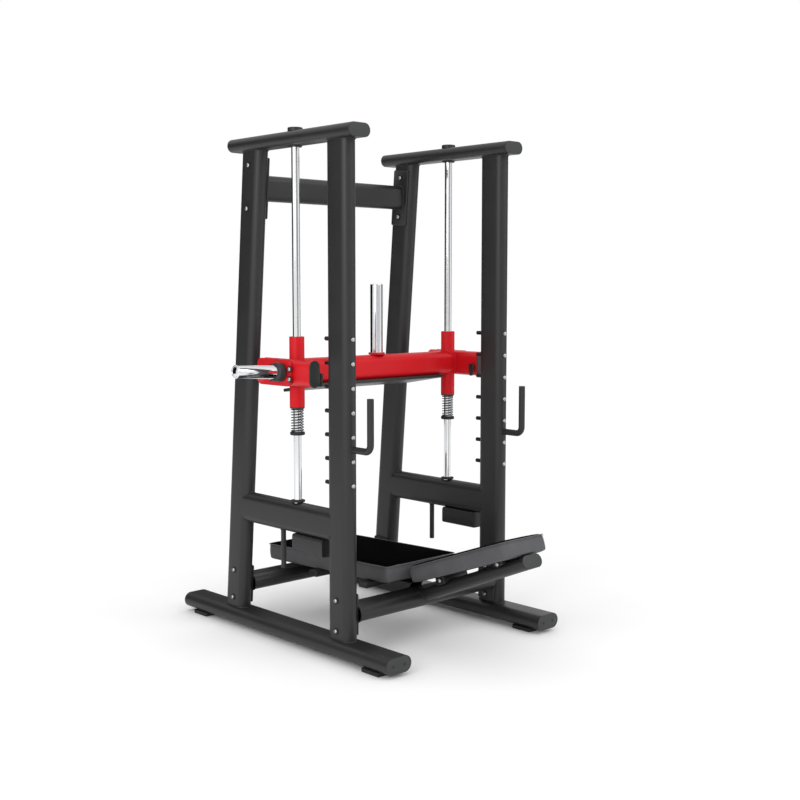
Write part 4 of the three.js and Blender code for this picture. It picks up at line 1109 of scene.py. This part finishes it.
def upholstery(name, colour, roughness, shine):
    """Grained vinyl: a pebble bump, and a soft unevenness of tone and gloss across the panel."""
    made, tree, shader = surface_finish(name, colour, 0, roughness, 1.35)
    shader.inputs["Specular IOR Level"].default_value = shine
    place = add(tree, "ShaderNodeTexCoord").outputs["Object"]
    pebble = add(tree, "ShaderNodeTexVoronoi", {"Scale": 1 / GRAIN}, {"Vector": place})
    soft = add(tree, "ShaderNodeTexNoise", {"Scale": 1 / 0.05, "Detail": 4}, {"Vector": place}).outputs["Fac"]
    gloss = add(
        tree, "ShaderNodeMapRange", {"To Min": roughness - 0.08, "To Max": roughness + 0.08}, {"Value": soft})
    tone = add(tree, "ShaderNodeMapRange", {"To Min": 0.8, "To Max": 1.25}, {"Value": soft})
    tinted = add(
        tree, "ShaderNodeHueSaturation", {"Color": linear(colour)}, {"Value": tone.outputs["Result"]})
    bump = add(
        tree, "ShaderNodeBump", {"Strength": 0.3, "Distance": 0.0003}, {"Height": pebble.outputs["Distance"]})
    tree.links.new(gloss.outputs["Result"], shader.inputs["Roughness"])
    tree.links.new(tinted.outputs["Color"], shader.inputs["Base Color"])
    tree.links.new(bump.outputs["Normal"], shader.inputs["Normal"])
    return made


# One black vinyl in three copies: the side band is grey as painted light from the sides, the top panel near
# black and dull as painted shade, and the welt lighter still as a painted highlight.
vinyl = upholstery("grained_vinyl_band_painted_light", "505052", 0.5, 0.4)
shaded_top_vinyl = upholstery("vinyl_top_painted_shade", "050505", 0.85, 0.01)
# The welt's lighter grey is a painted highlight along the seam.
highlight_welt = upholstery("vinyl_welt_painted_highlight", "5a5a5c", 0.45, 0.5)

BAND_EDGE = 0.007
PAD_STEPS = 220


def inset(outline, distance):
    """An outline moved inward along its own normals."""
    along = np.roll(outline, -1, 0) - np.roll(outline, 1, 0)
    along /= np.linalg.norm(along, axis=1)[:, None]
    return outline - distance * np.stack([along[:, 1], -along[:, 0]], 1)


def pad_shell(outline, spine, thick, crown, place):
    """A boxed pad: up the side band with a slight bulge, over a soft edge, and in to the spine
    line over a crown. Heights run from 0 under the board to thick at the seam."""
    seam = thick - crown
    bulge = np.linspace(0, np.pi, 9)
    stations = [(0.010, 0.0), (0.004, 0.0008), (0.0015, 0.003)]
    stations += [(0.0018 * (1 - math.sin(b)), 0.005 + (seam - 0.005 - BAND_EDGE) * b / math.pi)
                 for b in bulge]
    stations += [(BAND_EDGE * (1 - math.cos(b)), seam - BAND_EDGE * (1 - math.sin(b)))
                 for b in np.linspace(0.2, np.pi / 2, 6)]
    rings = [np.column_stack([inset(outline, d), np.full(len(outline), h)]) for d, h in stations]
    rim = inset(outline, stations[-1][0])
    middle = np.column_stack([np.zeros(len(rim)), np.clip(rim[:, 1], *spine)])
    for share in np.linspace(0.08, 0.98, 14):
        top = seam + crown * math.sin(share * np.pi / 2) ** 0.9
        rings.append(np.column_stack([rim + (middle - rim) * share, np.full(len(rim), top)]))
    points, faces = skin(rings)
    return place(points), faces


def with_shaded_top_panel(pad, seam_height, origin, normal):
    """Gives the upward faces above the seam, in a frame from an origin along a normal, the near-black copy of
    the vinyl: painted shade on the top.
    """
    pad.data.materials.append(shaded_top_vinyl)
    count = len(pad.data.polygons)
    centres, facing = np.empty(count * 3), np.empty(count * 3)
    pad.data.polygons.foreach_get("center", centres)
    pad.data.polygons.foreach_get("normal", facing)
    # The top's darker copy is painted shade, picked by which way each face looks.
    above = (centres.reshape(-1, 3) - origin) @ normal > seam_height - 0.002
    upward = facing.reshape(-1, 3) @ normal > 0.6
    pad.data.polygons.foreach_set("material_index", (above & upward).astype(int))


def puffed(pad, reach):
    """Foam pressing on its cover: cloth under a light inner pressure on a 6 mm voxel copy, with
    each point's travel capped, then one smooth subdivision."""
    start_frame = bpy.context.scene.frame_current
    bpy.context.view_layer.objects.active = pad
    remesh = pad.modifiers.new("remesh", "REMESH")
    remesh.mode = "VOXEL"
    remesh.voxel_size = 0.006
    remesh.use_smooth_shade = True
    with bpy.context.temp_override(object=pad, active_object=pad, selected_objects=[pad]):
        bpy.ops.object.modifier_apply(modifier=remesh.name)
    count = len(pad.data.vertices)
    before = np.empty(count * 3)
    pad.data.vertices.foreach_get("co", before)
    cloth = pad.modifiers.new("cloth", "CLOTH")
    cloth.settings.use_pressure = True
    cloth.settings.uniform_pressure_force = 4
    cloth.settings.quality = 4
    cloth.settings.effector_weights.gravity = 0
    for step in range(1, 21):
        bpy.context.scene.frame_set(step)
    solved = pad.evaluated_get(bpy.context.evaluated_depsgraph_get())
    after = np.empty(count * 3)
    solved.data.vertices.foreach_get("co", after)
    pad.modifiers.remove(cloth)
    before, after = before.reshape(-1, 3), after.reshape(-1, 3)
    travel = after - before
    far = np.maximum(np.linalg.norm(travel, axis=1), 1e-9)[:, None]
    after = before + travel * np.minimum(1, reach / far)
    pad.data.vertices.foreach_set("co", after.ravel())
    pad.data.update()
    bpy.context.scene.frame_set(start_frame)
    smooth = pad.modifiers.new("smooth", "SUBSURF")
    smooth.levels = smooth.render_levels = 1
    with bpy.context.temp_override(object=pad, active_object=pad, selected_objects=[pad]):
        bpy.ops.object.modifier_apply(modifier=smooth.name)


def pad_outline(corners, steps=PAD_STEPS):
    """An outline resampled evenly, so that insets stay smooth round its corners."""
    flat = np.column_stack([corners, np.zeros(len(corners))])
    return evenly(flat, np.linalg.norm(np.diff(flat, axis=0), axis=1).sum() / steps)[0][:, :2]


def seam_and_stitches(name, outline, seam_height, place, normal):
    """A 3 mm piped seam along the top edge, with stitches 5 mm apart just under it."""
    cord = np.column_stack([inset(outline, 0.0016), np.full(len(outline), seam_height - 0.0022)])
    piping = carried(evenly(place(cord), 0.004)[0], normal, 0.0016, 8, closed=True)
    # The piping is drawn lighter grey as a painted highlight along the top edge.
    piece(f"{name}_piping", [piping], highlight_welt, "frame")
    row = np.column_stack([inset(outline, -0.0004), np.full(len(outline), seam_height - 0.0085)])
    row = evenly(place(row), 0.005)[0]
    along = np.roll(row, -1, 0) - row
    along /= np.linalg.norm(along, axis=1)[:, None]
    out = np.cross(along, normal)
    tilt = np.linspace(-1, 1, 4)
    stitches = []
    for at, way, off in zip(row, along, out):
        path = at + way * tilt[:, None] * 0.0016 + off * (0.0004 - 0.0005 * tilt[:, None] ** 2)
        stitches.append(carried(path, normal, 0.00035, 4, closed=False))
    piece(f"{name}_stitches", stitches, thread, "frame", crease=80)


# Bonded nylon thread, dull, its twist about 0.6 mm long.
thread, tree, shader = surface_finish("bonded_nylon_thread", "2c2c2d", 0, 0.6, 1.53)
place = add(tree, "ShaderNodeTexCoord").outputs["Object"]
twist = add(tree, "ShaderNodeTexNoise", {"Scale": 1 / 0.0006, "Detail": 1}, {"Vector": place})
bump = add(tree, "ShaderNodeBump", {"Strength": 0.4, "Distance": 0.0001}, {"Height": twist.outputs["Fac"]})
tree.links.new(bump.outputs["Normal"], shader.inputs["Normal"])

# Seat pad, lying at 1.9 degrees on its crossbars.
SEAT_WIDE, SEAT_LONG, SEAT_CORNER = 0.376, 0.745, 0.013
seat_origin = np.array([0, seat_low[1], SEAT_FRONT_TOP - SEAT_THICK / math.cos(SEAT_SLOPE)])
seat_back = np.array([0, math.cos(SEAT_SLOPE), -math.sin(SEAT_SLOPE)])
seat_up = np.array([0, math.sin(SEAT_SLOPE), math.cos(SEAT_SLOPE)])


def on_seat(points):
    """From the pad's own plane to its place: x across, y back from the front edge, z up."""
    return seat_origin + points[:, :1] * np.array(X) + points[:, 1:2] * seat_back + points[:, 2:] * seat_up


seat_outline = pad_outline(
    rounded_rectangle(SEAT_WIDE, SEAT_LONG, SEAT_CORNER, 16) + [0, SEAT_LONG / 2])
seat_crown = 0.006
seat = piece("seat_pad_cover", [pad_shell(seat_outline, (0.16, SEAT_LONG - 0.16), SEAT_THICK + 0.002,
                                          seat_crown, on_seat)], vinyl, "frame",
             ["seat_pad"])
puffed(seat, 0.003)
with_shaded_top_panel(seat, SEAT_THICK + 0.002 - seat_crown, seat_origin, seat_up)
seam_and_stitches("seat_pad", seat_outline, SEAT_THICK + 0.002 - seat_crown, on_seat, seat_up)

# Back pad, lying at 19.8 degrees on its brackets, with rounder corners than the seat's.
BACK_WIDE, BACK_LONG, BACK_THICK, BACK_CORNER = 0.227, 0.544, 0.064, 0.036


def on_back(points):
    """From the pad's own plane to its place: x across, y up from the foot, z off the brackets."""
    return back_foot + points[:, :1] * np.array(X) + points[:, 1:2] * back_out + points[:, 2:] * back_up


pad_edge = pad_outline(
    rounded_rectangle(BACK_WIDE, BACK_LONG, BACK_CORNER, 16) + [0, BACK_LONG / 2])
back_crown = 0.005
back = piece("back_pad_cover", [pad_shell(pad_edge, (0.11, BACK_LONG - 0.11), BACK_THICK + 0.001,
                                          back_crown, on_back)], vinyl, "frame",
             ["back_pad"])
puffed(back, 0.003)
with_shaded_top_panel(back, BACK_THICK + 0.001 - back_crown, back_foot, back_up)
seam_and_stitches("back_pad", pad_edge, BACK_THICK + 0.001 - back_crown, on_back, back_up)
